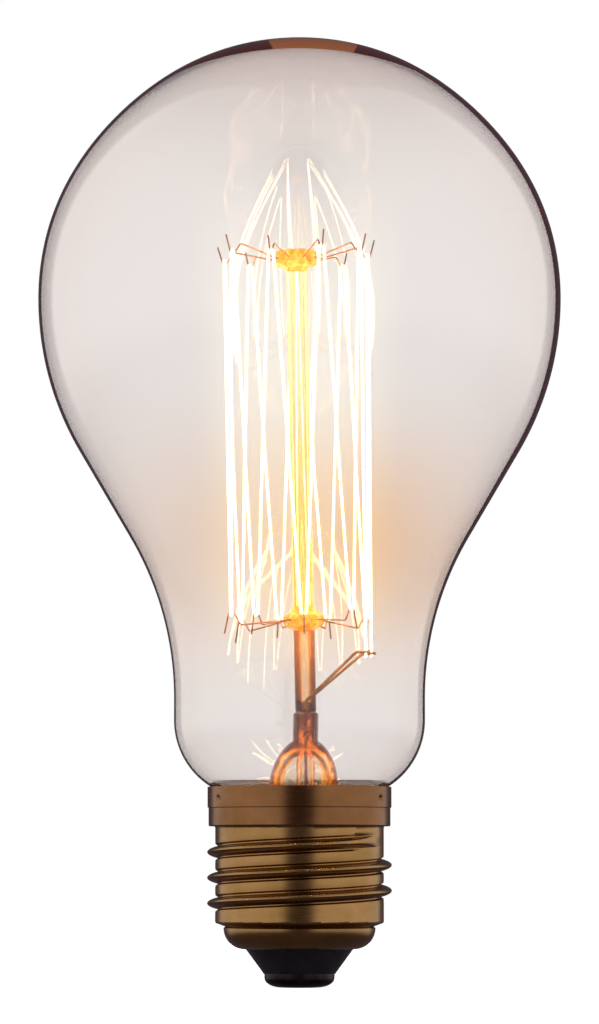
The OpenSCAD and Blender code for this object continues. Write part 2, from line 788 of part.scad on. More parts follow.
// The sheet of the skirt: a rim band, a slightly narrower band, and a step in to the thread
module skirt() {
    rotate_extrude()
        polygon([
            [rim_r, cap_h],
            [rim_r, cap_h - rim_h],
            [skirt_r, cap_h - rim_h - rim_edge],
            [skirt_r, skirt_z + skirt_edge],
            [skirt_r - skirt_edge, skirt_z],
            [band_r + lap, thread_top_z],
            [band_r + lap, thread_top_z - lap],
            [band_r - sheet - lap, thread_top_z - lap],
            [band_r - sheet - lap, skirt_z + sheet],
            [skirt_r - sheet, skirt_z + sheet],
            [skirt_r - sheet, cap_h - rim_h],
            [rim_r - sheet, cap_h - rim_h + rim_edge],
            [rim_r - sheet, cap_h]
        ]);
}

// The sheet of the bowl: a groove under the thread and a round corner in to the insulator
module bowl() {
    corner_x = bowl_r - bowl_corner_r;
    hole_r = insulator_d / 2 + insulator_gap;
    rotate_extrude()
        polygon(concat(
            [[band_r - sheet - lap, thread_z + lap], [band_r + lap, thread_z + lap]],
            [[band_r + lap, thread_z], [band_r - lap, thread_z - thread_edge]],
            [[groove_r, bowl_z + groove_h / 2]],
            arc([corner_x, bowl_z], bowl_corner_r, 0, -90),
            [[hole_r, bowl_z - bowl_corner_r], [hole_r, bowl_floor_z]],
            arc([corner_x, bowl_z], bowl_corner_r - sheet, -90, 0),
            [[groove_r - sheet, bowl_z + groove_h / 2], [groove_r - sheet, bowl_z + groove_h]]
        ));
}

module screw_shell() {
    color([0.66, 0.50, 0.32])
        difference() {
            union() {
                skirt();
                rolled_thread();
                bowl();
            }
            translate([-notch_w / 2, rim_r - past, cap_h - notch_h])
                cube([notch_w, 2 * past, notch_h + past]);
        }
}

// Black glass: a disc inside the bowl and a cone below it that carries the contact
module shell_insulator() {
    disc_r = bowl_corner_r - sheet - insulator_gap;
    corner = [bowl_r - bowl_corner_r - insulator_gap, bowl_floor_z + disc_r];
    neck_r = insulator_d / 2;
    plug_r = contact_d / 2 - contact_sheet - contact_gap;
    bore_r = lead_bore_d / 2;
    color([0.09, 0.08, 0.09])
        rotate_extrude()
            polygon(concat(
                [
                    [bore_r, contact_sheet],
                    [contact_flat_d / 2 - 2 * contact_gap, contact_sheet],
                    [plug_r, contact_edge_h],
                    [plug_r, insulator_z],
                    [insulator_tip_d / 2, insulator_z],
                    [neck_r, bowl_floor_z - sheet - insulator_edge],
                    [neck_r, bowl_floor_z]
                ],
                arc(corner, disc_r, -90, asin(insulator_disc_h / disc_r - 1), 6),
                [
                    [bore_r + 2 * dish_h, insulator_top_z],
                    [bore_r + dish_h, insulator_top_z - dish_h],
                    [bore_r, insulator_top_z - dish_h]
                ]
            ));
}

// A pressed brass cup whose flat is the centre contact
module contact_plate() {
    r = contact_d / 2;
    flat_r = contact_flat_d / 2;
    hole_r = contact_hole_d / 2;
    bulge = 0.15;
    color([0.30, 0.24, 0.20])
        rotate_extrude()
            polygon([
                [hole_r, 0],
                [flat_r, 0],
                [(flat_r + r) / 2 + bulge, contact_edge_h / 2 - bulge],
                [r, contact_edge_h],
                [r, insulator_z],
                [r - contact_sheet, insulator_z],
                [r - contact_sheet, contact_edge_h],
                [flat_r - contact_gap, contact_sheet],
                [hole_r, contact_sheet]
            ]);
}

// Solder fills the contact's hole, round the end of the lead
module contact_solder() {
    color([0.60, 0.58, 0.55])
        difference() {
            cylinder(d = contact_hole_d, h = contact_sheet);
            translate([0, 0, contact_sheet / 2])
                cylinder(r = lead_r + bore_gap, h = contact_sheet);
        }
}

// A low bead of solder on the rim at the back, over the end of the side lead. Its flat facets
// stay clear of the round rim and of the round lead.
module side_solder() {
    color([0.60, 0.58, 0.55])
        difference() {
            translate([0, rim_r, notch_lead_z])
                hull() scale([solder_w / 2, solder_rise, solder_w / 2]) sphere(r = 1, $fn = solder_sides);
            hull() cylinder(r = (rim_r + bore_gap) / cos(180 / $fn), h = cap_h + solder_w);
            translate([0, 0, cap_h]) cylinder(r = rim_r + solder_w, h = solder_w);
            translate([0, 0, notch_lead_z])
                rotate([-90, 0, 0])
                    cylinder(r = lead_r + seat_gap, h = rim_r + side_lead_out + bore_gap, $fn = 12);
        }
}

// Cement fills the skirt round the sealed end, with a hole for the side lead
module basing_cement() {
    foot = skirt_z + sheet + cement_gap;
    color([0.72, 0.66, 0.56])
        difference() {
            rotate_extrude()
                polygon([
                    [seal_r + cement_gap, foot],
                    [skirt_r - sheet - cement_gap, foot],
                    [skirt_r - sheet - cement_gap, seal_corner_z],
                    [seal_r + cement_gap, seal_corner_z]
                ]);
            translate([0, side_lead_r, foot - past])
                cylinder(r = lead_r + bore_gap, h = seal_corner_z - foot + 2 * past);
        }
}

glass_envelope();
stem_flare();
exhaust_tube();
centre_rod();
upper_bead();
lower_bead();
for (i = [0:upper_hooks - 1]) upper_hook(i);
for (i = [0:lower_hooks - 1]) lower_hook(i);
filament();
lead_front();
lead_back();
sealed_lead_front();
sealed_lead_back();
centre_outer_lead();
side_outer_lead();
screw_shell();
shell_insulator();
contact_plate();
contact_solder();
side_solder();
basing_cement();
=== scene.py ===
"""The looks of a large clear filament bulb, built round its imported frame.

Metres, +Z runs up the bulb's axis, -Y is the front, and the centre contact stands on z = 0.
"""

import math

import bmesh
import bpy
from mathutils import Matrix, Vector


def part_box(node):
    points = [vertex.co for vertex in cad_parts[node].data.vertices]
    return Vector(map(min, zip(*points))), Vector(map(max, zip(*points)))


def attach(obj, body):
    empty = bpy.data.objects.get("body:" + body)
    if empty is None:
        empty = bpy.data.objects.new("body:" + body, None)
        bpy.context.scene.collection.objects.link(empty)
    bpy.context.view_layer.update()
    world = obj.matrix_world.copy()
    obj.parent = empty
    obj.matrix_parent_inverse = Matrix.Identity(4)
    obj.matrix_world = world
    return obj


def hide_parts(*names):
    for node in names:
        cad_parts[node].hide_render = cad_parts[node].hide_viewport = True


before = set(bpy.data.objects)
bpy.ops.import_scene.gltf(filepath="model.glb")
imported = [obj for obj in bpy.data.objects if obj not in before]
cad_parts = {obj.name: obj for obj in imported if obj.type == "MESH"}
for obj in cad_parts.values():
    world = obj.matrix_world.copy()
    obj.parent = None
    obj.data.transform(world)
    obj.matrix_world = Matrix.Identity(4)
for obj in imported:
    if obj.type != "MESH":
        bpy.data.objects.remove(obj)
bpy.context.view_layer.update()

MM = 0.001
BODY = "root"

# Sizes of the envelope
ENVELOPE_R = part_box("glass_envelope")[1].x
NECK_R = 17.9 * MM
NECK_LEN = 3 * MM
FLANK_R = 43.2 * MM
CONE_ANGLE = 30.5
WAIST_R = 45.5 * MM
SHOULDER_R = 11.2 * MM
SEAL_R = 10.7 * MM
SEAL_CORNER_R = 2 * MM
DOME_DRAW = 0.4 * MM
SEAL_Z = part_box("glass_envelope")[0].z
GLASS_WALL = 0.7 * MM
CROWN_WALL = 1 * MM
CROWN_FROM = 30
ENVELOPE_SEGMENTS = 192

# Sizes of the cap
CAP_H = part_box("screw_shell")[1].z
RIM_R = 13.1 * MM
RIM_H = 2.9 * MM
SKIRT_R = 12.95 * MM
SKIRT_Z = 22.8 * MM
SHEET = 0.3 * MM
BOWL_R = 10.8 * MM
BOWL_CORNER_R = 3 * MM
BOWL_Z = 8.4 * MM
GROOVE_R = 10.55 * MM
SHELL_HOLE_R = 7.7 * MM
NOTCH_W = 0.7 * MM
NOTCH_H = 0.8 * MM
SHELL_SEGMENTS = 240
RIM_GLASS_R = RIM_R - SHEET - 0.17 * MM

# Sizes of the rolled thread
CREST_R = 13.15 * MM
BAND_R = 12 * MM
VALLEY_R = 11.65 * MM
CREST_FOOT = 0.22
CREST_ROUND = 0.8
VALLEY_EDGE = 0.03
BAND_EDGE = 0.07
BAND_CROWN = 0.05 * MM
THREAD_Z = 9.3 * MM
THREAD_TOP_Z = 22.6 * MM
THREAD_START = math.radians(104)
THREAD_TURNS = 96 / 36
THREAD_RISE = (THREAD_TOP_Z - THREAD_Z) / (THREAD_TURNS + 1)
THREAD_FADE = 60 / 360
MARK_ANGLES = [math.radians(a) for a in (-151, -29, 90)]
MARK_Z = 26.75 * MM
MARK_R = 0.3 * MM
MARK_DEPTH = 0.4 * MM

# Sizes of the insulator and the contact
INSULATOR_R = 7.65 * MM
INSULATOR_TIP_R = 5.2 * MM
INSULATOR_Z = 1.9 * MM
CONTACT_R = 5 * MM
CONTACT_FLAT_R = 2.6 * MM
CONTACT_EDGE_H = 1.3 * MM
CONTACT_SHEET = 0.4 * MM
CONTACT_HOLE_R = 1 * MM

# Sizes of the stem
FLARE_R = 4.9 * MM
FLARE_WALL = 0.8 * MM
TRUMPET_Z = 19 * MM
LIP_W = 0.9 * MM
DOME_Z = 28.4 * MM
PRESS_Z = 34.8 * MM
PRESS_TOP_Z = 39 * MM
PRESS_HALF_T = 1.85 * MM
PRESS_HALF_W = 4.3 * MM
CAVITY_TOP_Z = 33.9 * MM
CAVITY_HALF_T = 1.45 * MM
CAVITY_HALF_W = 3.3 * MM
STEM_SHIFT = 0.9 * MM
STEM_LEAN = math.radians(1.2)
STEM_SEGMENTS = 96
EXHAUST_R = 1.3 * MM
EXHAUST_WALL = 0.5 * MM
EXHAUST_TIP_Z = 9.4 * MM

# Sizes of the rod and the beads
ROD_R = 1.5 * MM
LOWER_BEAD_H = 13.2 * MM
UPPER_BEAD_H = 65.2 * MM
BEAD_R = 3 * MM
LOWER_BEAD_HALF = 1.7 * MM
UPPER_BEAD_HALF = 1.2 * MM
BEAD_CROWN = 0.5 * MM
BORE_GAP = 0.02 * MM

# Sizes of the hooks, the filament and the leads
UPPER_HOOKS = 9
LOWER_HOOKS = 8
HOOK_D = 0.24 * MM
RING_R = 10.6 * MM
FIRST_HOOK = math.radians(-30)
HOOK_STEP = 2 * math.pi / UPPER_HOOKS
HOOK_REACH = 1.5 * MM
UPPER_ARM = 1.5 * MM
UPPER_SEAT = -0.1 * MM
UPPER_TAIL = 2.5 * MM
LOWER_ARM = -0.8 * MM
LOWER_SEAT = 1.2 * MM
LOWER_TAIL = -2.2 * MM
TAIL_REACH = 0.9 * MM
HOOK_BEND = 0.5 * MM
SHOULDER_BEND = 0.4 * MM
HOOK_SCATTER = 0.35 * MM
ROOT_GAP = 0.1 * MM
ROOT_RUN = 0.4 * MM
FILAMENT_D = 0.4 * MM
FILAMENT_TAIL = 0.9 * MM
COIL_WIRE_D = 0.13 * MM
COIL_PITCH = 0.4 * MM
COIL_SIDES = 4
COIL_STEPS = 8
SEAT_GAP = 0.05 * MM
LEAD_D = 0.44 * MM
LEAD_SPREAD = 2.2 * MM
WELD_H = 0.42 * MM
EYE_REACH = 9.7 * MM
EYE_H = 8.3 * MM
FRONT_EYE = math.radians(-27)
BACK_EYE = math.radians(8)
EYE_RUN = 1.3 * MM
FOOT_RISE = 1.1 * MM
EYE_END = 0.8 * MM
LEAD_BEND = 0.8 * MM
WIRE_SIDES = 12

# The frame of the leaning rod: its origin is the middle of the press's top
ON_ROD = Matrix.Translation((STEM_SHIFT, 0, PRESS_TOP_Z)) @ Matrix.Rotation(-STEM_LEAN, 4, "Y")

# The photograph's camera
CAMERA_AT = Vector((0, -0.61, 0.019))
AIM_AT = Vector((0, 0, 0.0677))
LENS = 150.2


def srgb(code):
    """A colour written as six hex digits, as the linear colour that the shaders take."""
    values = [int(code[i:i + 2], 16) / 255 for i in (0, 2, 4)]
    return [v / 12.92 if v <= 0.04045 else ((v + 0.055) / 1.055) ** 2.4 for v in values] + [1]


def smooth(t):
    """0 below 0, 1 above 1, and a soft step between."""
    t = min(max(t, 0), 1)
    return t * t * (3 - 2 * t)


def plug(tree, node, inputs):
    """Gives a node's inputs their values, or links them to other nodes' outputs."""
    for name, value in inputs.items():
        if isinstance(value, bpy.types.NodeSocket):
            tree.links.new(value, node.inputs[name])
        else:
            node.inputs[name].default_value = value


def add(tree, kind, inputs=None, stops=(), **settings):
    """Adds a node with its settings and links. Stops are a colour ramp's (place, colour) pairs."""
    node = tree.nodes.new(kind)
    for name, value in settings.items():
        setattr(node, name, value)
    for i, (place, colour) in enumerate(stops):
        elements = node.color_ramp.elements
        stop = elements[i] if i < 2 else elements.new(place)
        stop.position = place
        stop.color = srgb(colour)
    plug(tree, node, inputs or {})
    return node


def new_material(name):
    """A material with its node tree and its main shader."""
    material = bpy.data.materials.new(name)
    material.use_nodes = True
    return material, material.node_tree, material.node_tree.nodes["Principled BSDF"]


def outline(name, points):
    """Draws a line through the points with one vertex that is extruded from each to the next.
    The new piece is left in edit mode."""
    bpy.ops.object.select_all(action="DESELECT")
    bpy.ops.mesh.primitive_plane_add(size=MM)
    piece = bpy.context.object
    piece.name = piece.data.name = name
    bpy.ops.object.mode_set(mode="EDIT")
    bpy.ops.mesh.merge(type="CENTER")
    bpy.ops.transform.translate(value=points[0])
    for here, there in zip(points, points[1:]):
        bpy.ops.mesh.extrude_vertices_move(TRANSFORM_OT_translate={"value": there - here})
    return piece


def upright(points):
    """Points [distance from the axis, height] in the plane y = 0."""
    return [Vector((x, 0, z)) for x, z in points]


def arc(centre, radius, start, end, steps):
    """Points on an arc in the plane y = 0, from angle start to angle end, in degrees."""
    angles = [math.radians(start + (end - start) * i / steps) for i in range(steps + 1)]
    return [(centre[0] + radius * math.cos(a), centre[1] + radius * math.sin(a)) for a in angles]


def revolve(name, points, segments, closed=True):
    """Turns a half outline about the Z axis. A closed outline bounds solid glass or metal."""
    line = upright(points)
    piece = outline(name, line + line[:1] if closed else line)
    bpy.ops.mesh.select_all(action="SELECT")
    bpy.ops.mesh.spin(steps=segments, angle=2 * math.pi, center=(0, 0, 0), axis=(0, 0, 1))
    bpy.ops.mesh.select_all(action="SELECT")
    bpy.ops.mesh.remove_doubles(threshold=0.002 * MM)
    bpy.ops.mesh.normals_make_consistent(inside=False)
    bpy.ops.object.mode_set(mode="OBJECT")
    return piece


def rounded(points, radii, steps=6):
    """The path with each inner corner rounded by its own radius."""
    path = [points[0]]
    for before, corner, after, radius in zip(points, points[1:], points[2:], radii):
        back, on = (before - corner).normalized(), (after - corner).normalized()
        half = back.angle(on) / 2
        middle = corner + (back + on).normalized() * radius / math.sin(half)
        first = corner + back * radius / math.tan(half) - middle
        last = corner + on * radius / math.tan(half) - middle
        sweep = math.pi - 2 * half
        path += [middle + (math.sin(sweep * (1 - i / steps)) * first + math.sin(sweep * i / steps) * last)
                 / math.sin(sweep) for i in range(steps + 1)]
    return path + [points[-1]]


def wire(name, path, diameter):
    """A round wire along a path in the rod's frame: a line, turned to a curve and thickened."""
    piece = outline(name, path)
    bpy.ops.object.mode_set(mode="OBJECT")
    bpy.ops.object.convert(target="CURVE")
    piece = bpy.context.object
    piece.data.bevel_depth = diameter / 2
    piece.data.bevel_resolution = WIRE_SIDES // 4 - 1
    piece.data.use_fill_caps = True
    bpy.ops.object.convert(target="MESH")
    piece = bpy.context.object
    piece.data.transform(ON_ROD)
    return piece


def finish_piece(piece, material, slot, *nodes, angle=40):
    """Gives a piece its finish and smooth shading, ties it to the body, and hides the CAD nodes that it
    stands for.
    """
    bpy.ops.object.select_all(action="DESELECT")
    piece.select_set(True)
    bpy.context.view_layer.objects.active = piece
    bpy.ops.object.shade_smooth_by_angle(angle=math.radians(angle))
    piece.data.materials.clear()
    piece.data.materials.append(material)
    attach(piece, BODY)
    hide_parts(*nodes)
    return piece


def span(tree, value, start, end, low=0.0, high=1.0, soft=False):
    """A number that runs from low to high while the value runs from start to end."""
    return add(tree, "ShaderNodeMapRange", {
        "Value": value, "From Min": start, "From Max": end, "To Min": low, "To Max": high},
        interpolation_type="SMOOTHSTEP" if soft else "LINEAR").outputs["Result"]


def maths(tree, operation, *values):
    """The result of one operation on numbers or on other nodes' outputs."""
    return add(tree, "ShaderNodeMath", dict(enumerate(values)), operation=operation).outputs["Value"]


def mixed(tree, factor, first, second, blend="MIX"):
    """The first colour, mixed with the second by the factor."""
    return add(tree, "ShaderNodeMix", {"Factor": factor, "A": first, "B": second},
               data_type="RGBA", blend_type=blend).outputs["Result"]


def ramp(tree, value, *stops):
    """The colour that a ramp of (place, colour) stops gives the value. The first two stops are
    its ends."""
    return add(tree, "ShaderNodeValToRGB", {"Fac": value}, stops=stops).outputs["Color"]


def noise(tree, place, size, **inputs):
    """Noise whose features have a real size."""
    return add(tree, "ShaderNodeTexNoise", {"Vector": place, "Scale": 1 / size, **inputs}).outputs["Fac"]


def bumped(tree, height, strength, distance):
    """The surface's normal, bent by a pattern of heights."""
    return add(tree, "ShaderNodeBump", {
        "Height": height, "Strength": strength, "Distance": distance}).outputs["Normal"]


def facing(tree):
    """How far the surface is turned from the eye: 0 face on and 1 edge on."""
    return add(tree, "ShaderNodeLayerWeight", {"Blend": 0.5}).outputs["Facing"]


def on_piece(tree):
    """The place on the piece in metres, as one vector and as its X, Y and Z."""
    place = add(tree, "ShaderNodeTexCoord").outputs["Object"]
    return place, add(tree, "ShaderNodeSeparateXYZ", {"Vector": place}).outputs


def blown_glass():
    """Blown soda-lime glass, on the envelope's outer face: a little grey and pink over its
    whole depth, with a thin dark brown outline where the eye looks along the wall, a little
    wider on the right as painted shade. The crown is thicker, its outline wider and golden
    brown in an oval patch in its middle, and painted shade darkens the glass towards the crown
    and a little at the neck. Painted light from the coil makes the glass paler round the
    cage, and a painted peach glow tints it round the cage's foot, most on the right."""
    material, tree, shader = new_material("blown_soda_lime_glass")
    place, at = on_piece(tree)
    crown_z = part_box("glass_envelope")[1].z
    crown_depth = span(tree, at["Z"], crown_z - 6.6 * MM, crown_z - 2.3 * MM, high=0.215)
    # Painted shade: the dark outline runs wider towards the right side.
    right_painted_shade = span(tree, at["X"], -ENVELOPE_R, ENVELOPE_R, high=0.05)
    depth = maths(tree, "ADD", maths(tree, "ADD", facing(tree), right_painted_shade), crown_depth)
    body = ramp(tree, depth, (0.0, "EBE4E1"), (1.0, "C2B8B5"), (0.35, "EBE5E2"), (0.6, "E5DCD9"))
    # Painted shade: the glass darkens towards the crown and a little at the neck.
    height = span(tree, at["Z"], 30 * MM, crown_z)
    shade = ramp(
        tree, height, (0.0, "FBFAFA"), (1.0, "E0D2CE"), (0.1, "FBFBFA"), (0.19, "FFFFFF"),
        (0.66, "FFFFFF"), (0.785, "FDFCFB"), (0.896, "F9F8F7"), (0.926, "F3EFEE"),
        (0.946, "ECE6E4"), (0.979, "E6DAD8"))
    shaded = mixed(tree, 1.0, body, shade, "MULTIPLY")
    aside = maths(tree, "ABSOLUTE", at["X"])
    # Painted light: the glass is paler round the cage, where the coil's light falls.
    above_foot = span(tree, at["Z"], 42 * MM, 56 * MM, soft=True)
    below_top = span(tree, at["Z"], 112 * MM, 98 * MM, soft=True)
    near_cage = span(tree, aside, 16 * MM, 7 * MM, high=0.95, soft=True)
    halo = maths(tree, "MULTIPLY", maths(tree, "MULTIPLY", above_foot, below_top), near_cage)
    lit = mixed(tree, halo, shaded, srgb("FFF7E9"))
    # Painted glow: a peach tint for the coil's light round the cage's foot, stronger on the right.
    foot_z = 63 * MM
    from_foot = maths(tree, "ABSOLUTE", maths(tree, "SUBTRACT", at["Z"], foot_z))
    at_foot = span(tree, from_foot, 24 * MM, 0.0, soft=True)
    inwards = span(tree, aside, 33 * MM, 8 * MM, soft=True)
    rightwards = span(tree, at["X"], -12 * MM, 12 * MM, low=0.62, soft=True)
    glow = maths(tree, "MULTIPLY", maths(tree, "MULTIPLY", at_foot, inwards), rightwards)
    glowing = mixed(tree, glow, lit, srgb("FFDAB4"), "MULTIPLY")
    squeezed = add(tree, "ShaderNodeVectorMath", {0: place, 1: (1, 0.4, 0)}, operation="MULTIPLY")
    spot_at, spot_r, spot_blur = (1.9 * MM, -3.6 * MM, 0), 6.2 * MM, 0.2 * MM
    from_spot = add(tree, "ShaderNodeVectorMath", {
        0: squeezed.outputs["Vector"], 1: spot_at}, operation="DISTANCE").outputs["Value"]
    golden = span(tree, from_spot, spot_r + spot_blur, spot_r)
    brown = mixed(tree, golden, srgb("2A0600"), srgb("64381A"))
    line = span(tree, depth, 0.835, 0.855)
    plug(tree, shader, {
        "Base Color": mixed(tree, line, glowing, brown),
        "Roughness": 0.0,
        "IOR": 1.52,
        "Transmission Weight": span(tree, line, 0.0, 1.0, low=1.0, high=0.05),
    })
    return material


def clear_inner_glass():
    """The inner face of the same blown wall: clear, with a trace of pink."""
    material, tree, shader = new_material("blown_glass_inner_face")
    plug(tree, shader, {
        "Base Color": ramp(tree, facing(tree), (0.0, "FFFFFF"), (1.0, "F4ECE9")),
        "Roughness": 0.0,
        "IOR": 1.52,
        "Transmission Weight": 1.0,
    })
    return material


def stem_glass():
    """Drawn and pressed lead glass of the stem: nearly clear in the middle of the dome, with
    streaks, and orange to brown along its walls and in the press, which is darker. The orange
    and brown are painted light and painted shade of the coil's warm light, and the same
    places have a painted glow of it."""
    material, tree, shader = new_material("drawn_lead_glass")
    place, at = on_piece(tree)
    streaks = noise(tree, place, 1.1 * MM, Detail=3.0, Distortion=0.8)
    # Painted light and shade: orange, then brown, as the walls turn from the eye, and darker in the press.
    in_press = span(tree, at["Z"], CAVITY_TOP_Z - 1.6 * MM, CAVITY_TOP_Z + 0.4 * MM, high=0.5, soft=True)
    depth = maths(tree, "MULTIPLY_ADD", streaks, 0.6, maths(tree, "ADD", facing(tree), in_press))
    plug(tree, shader, {
        "Base Color": ramp(
            tree, depth, (0.0, "FFFBF6"), (1.0, "3A1002"), (0.5, "FFF4E6"), (0.62, "FFBC58"),
            (0.74, "D8701A"), (0.88, "7A2E0A")),
        # Painted glow of the coil's light in the same places.
        "Emission Color": ramp(
            tree, depth, (0.0, "000000"), (1.0, "4A1A04"), (0.52, "000000"), (0.64, "E08A20"),
            (0.76, "E07C14"), (0.88, "7A3006")),
        "Emission Strength": 0.5,
        "Normal": bumped(tree, streaks, 0.35, 0.15 * MM),
        "Roughness": 0.02,
        "IOR": 1.56,
        "Transmission Weight": 1.0,
    })
    return material


def rod_glass():
    """Drawn glass rod. Between the beads it is yellow, as painted light where the coil lights it
    all round, with fine darker lines along it. Below them it is peach in the middle with
    orange edges that darken to red brown towards the press, as painted shade."""
    material, tree, shader = new_material("drawn_glass_rod")
    at = on_piece(tree)[1]
    bead_z, top_z = PRESS_TOP_Z + LOWER_BEAD_H, PRESS_TOP_Z + UPPER_BEAD_H
    edge = facing(tree)
    # Painted shade: below the beads the edges darken to red brown towards the press.
    brown_edges = ramp(tree, edge, (0.0, "FFD8B0"), (1.0, "200400"), (0.05, "FFC490"), (0.1, "561404"))
    orange_edges = ramp(tree, edge, (0.0, "FFDEB4"), (1.0, "803000"), (0.05, "FFC880"), (0.1, "E0780C"))
    low = mixed(tree, span(tree, at["Z"], PRESS_TOP_Z, bead_z - 3 * MM), brown_edges, orange_edges)
    # Painted light: yellow between the beads, where the coil lights the rod all round.
    deep = ramp(
        tree, edge, (0.0, "FCF2A0"), (1.0, "C89C2C"), (0.3, "F8EA8C"), (0.34, "E0C85C"), (0.4, "F8EC90"))
    pale = ramp(
        tree, edge, (0.0, "FFFAD4"), (1.0, "D8A840"), (0.3, "FFF4BC"), (0.34, "E8C868"), (0.4, "FFF0A8"))
    high = mixed(tree, span(tree, at["Z"], bead_z, top_z), deep, pale)
    plug(tree, shader, {
        "Base Color": mixed(tree, span(tree, at["Z"], bead_z - 1 * MM, bead_z + 1 * MM), low, high),
        "Roughness": 0.02,
        "IOR": 1.54,
        "Transmission Weight": 0.97,
    })
    return material


def bead_glass():
    """Glass beads melted round the hooks' roots: orange gold with painted light of the coil,
    darker amber streaks and pale yellow painted highlights, a painted glow, and a wet gloss."""
    material, tree, shader = new_material("fused_glass_bead")
    streaks = noise(tree, on_piece(tree)[0], 0.9 * MM, Detail=2.0, Distortion=0.6)
    plug(tree, shader, {
        # Painted light: orange gold, with pale yellow painted highlights among darker amber streaks.
        "Base Color": ramp(tree, streaks, (0.35, "D88410"), (0.65, "FFF0A0"), (0.5, "FFC840")),
        "Normal": bumped(tree, streaks, 0.5, 0.12 * MM),
        "Roughness": 0.08,
        "IOR": 1.54,
        "Transmission Weight": 0.6,
        # Painted glow of the coil's light.
        "Emission Color": srgb("FFB414"),
        "Emission Strength": 0.3,
    })
    return material


def coiled_filament():
    """Coiled tungsten at white heat, in two close tones of warm white that change along the
    coil."""
    material, tree, shader = new_material("coiled_tungsten_filament")
    heat = noise(tree, on_piece(tree)[0], 0.3 * MM)
    plug(tree, shader, {
        "Base Color": srgb("B9A58C"),
        "Metallic": 1.0,
        "Roughness": 0.5,
        "Emission Color": ramp(tree, heat, (0.3, "FFD49A"), (0.7, "FFE0B4")),
        "Emission Strength": 60.0,
    })
    return material


def drawn_metal(name, dark, light, roughness, grain=0.15):
    """Drawn, pressed or frozen metal: two tones of the same metal in flecks of a real size in
    millimetres, and a satin gloss that changes with them."""
    material, tree, shader = new_material(name)
    flecks = noise(tree, on_piece(tree)[0], grain * MM, Detail=2.0)
    plug(tree, shader, {
        "Base Color": ramp(tree, flecks, (0.3, dark), (0.7, light)),
        "Roughness": span(tree, flecks, 0.0, 1.0, low=roughness - 0.08, high=roughness + 0.08),
        "Metallic": 1.0,
    })
    return material


def rolled_brass():
    """Rolled and tumbled brass sheet with an aged brown patina: satin, darker on the skirt
    than on the thread, with fine lines round the cap from the rolling."""
    material, tree, shader = new_material("rolled_aged_brass")
    place, at = on_piece(tree)
    on_skirt = span(tree, at["Z"], THREAD_TOP_Z, SKIRT_Z + 0.4 * MM)
    clouds = noise(tree, place, 5 * MM, Detail=4.0, Roughness=0.6)
    thread_tone = ramp(tree, clouds, (0.3, "94703F"), (0.7, "A87F52"))
    skirt_tone = ramp(tree, clouds, (0.3, "7C5434"), (0.7, "8C6240"))
    drawn_out = add(tree, "ShaderNodeMapping", {"Vector": place, "Scale": (0.08, 0.08, 1)})
    lines = noise(tree, drawn_out.outputs["Vector"], 0.25 * MM, Detail=2.0)
    plug(tree, shader, {
        "Base Color": mixed(tree, on_skirt, thread_tone, skirt_tone),
        "Roughness": span(tree, lines, 0.0, 1.0, low=0.2, high=0.32),
        "Normal": bumped(tree, lines, 0.08, 0.05 * MM),
        "Metallic": 1.0,
    })
    return material


def black_glass():
    """Pressed black glass: near black with a violet cast, a fire-polished gloss and the slow
    ripples of the mould."""
    material, tree, shader = new_material("pressed_black_glass")
    ripples = noise(tree, on_piece(tree)[0], 2.5 * MM, Detail=2.0)
    plug(tree, shader, {
        "Base Color": ramp(tree, ripples, (0.3, "070507"), (0.7, "100C0F")),
        "Normal": bumped(tree, ripples, 0.15, 0.2 * MM),
        "Roughness": 0.14,
        "IOR": 1.5,
    })
    return material


def baked_cement():
    """Baked basing cement: matt, in two tones of beige in grains of half a millimetre."""
    material, tree, shader = new_material("baked_basing_cement")
    grains = noise(tree, on_piece(tree)[0], 0.5 * MM, Detail=4.0)
    plug(tree, shader, {
        "Base Color": ramp(tree, grains, (0.3, "8C7F6A"), (0.7, "B0A48C")),
        "Normal": bumped(tree, grains, 0.5, 0.1 * MM),
        "Roughness": 0.9,
    })
    return material


def envelope_line(wall, crown):
    """Half outline of the envelope from its crown to its sealed end, set in by the wall, and
    by the crown's own thickness in the middle of the crown."""
    shoulder_x = NECK_R - SHOULDER_R
    shoulder_z = CAP_H + math.sqrt(SHOULDER_R ** 2 - (RIM_GLASS_R - shoulder_x) ** 2)
    sweep = math.degrees(math.acos((SEAL_R + SEAL_CORNER_R - shoulder_x) / (SHOULDER_R + SEAL_CORNER_R)))
    corner_z = shoulder_z - (SHOULDER_R + SEAL_CORNER_R) * math.sin(math.radians(sweep))
    neck_top = shoulder_z + NECK_LEN
    cone = math.radians(CONE_ANGLE)
    waist_x = NECK_R + WAIST_R * (1 - math.cos(cone))
    waist_z = neck_top + WAIST_R * math.sin(cone)
    flank_x = ENVELOPE_R - FLANK_R * (1 - math.cos(cone))
    equator = waist_z + (flank_x - waist_x) / math.tan(cone) + FLANK_R * math.sin(cone)
    points = []
    for i in range(61):
        angle = 90 - 1.5 * i
        inwards = wall + (crown - wall) * smooth((angle - CROWN_FROM) / (90 - CROWN_FROM))
        inwards += DOME_DRAW * math.sin(math.radians(2 * angle)) ** 4
        points += arc((0, equator), ENVELOPE_R - inwards, angle, angle, 1)[:1]
    points += arc((ENVELOPE_R - FLANK_R, equator), FLANK_R - wall, 0, -CONE_ANGLE, 24)[1:]
    points += arc((NECK_R + WAIST_R, neck_top), WAIST_R + wall, 180 - CONE_ANGLE, 180, 24)
    points += arc((shoulder_x, shoulder_z), SHOULDER_R - wall, 0, -sweep, 24)
    points += arc((SEAL_R + SEAL_CORNER_R, corner_z), SEAL_CORNER_R + wall, 180 - sweep, 180, 10)[1:]
    return points + [(SEAL_R - wall, SEAL_Z)]


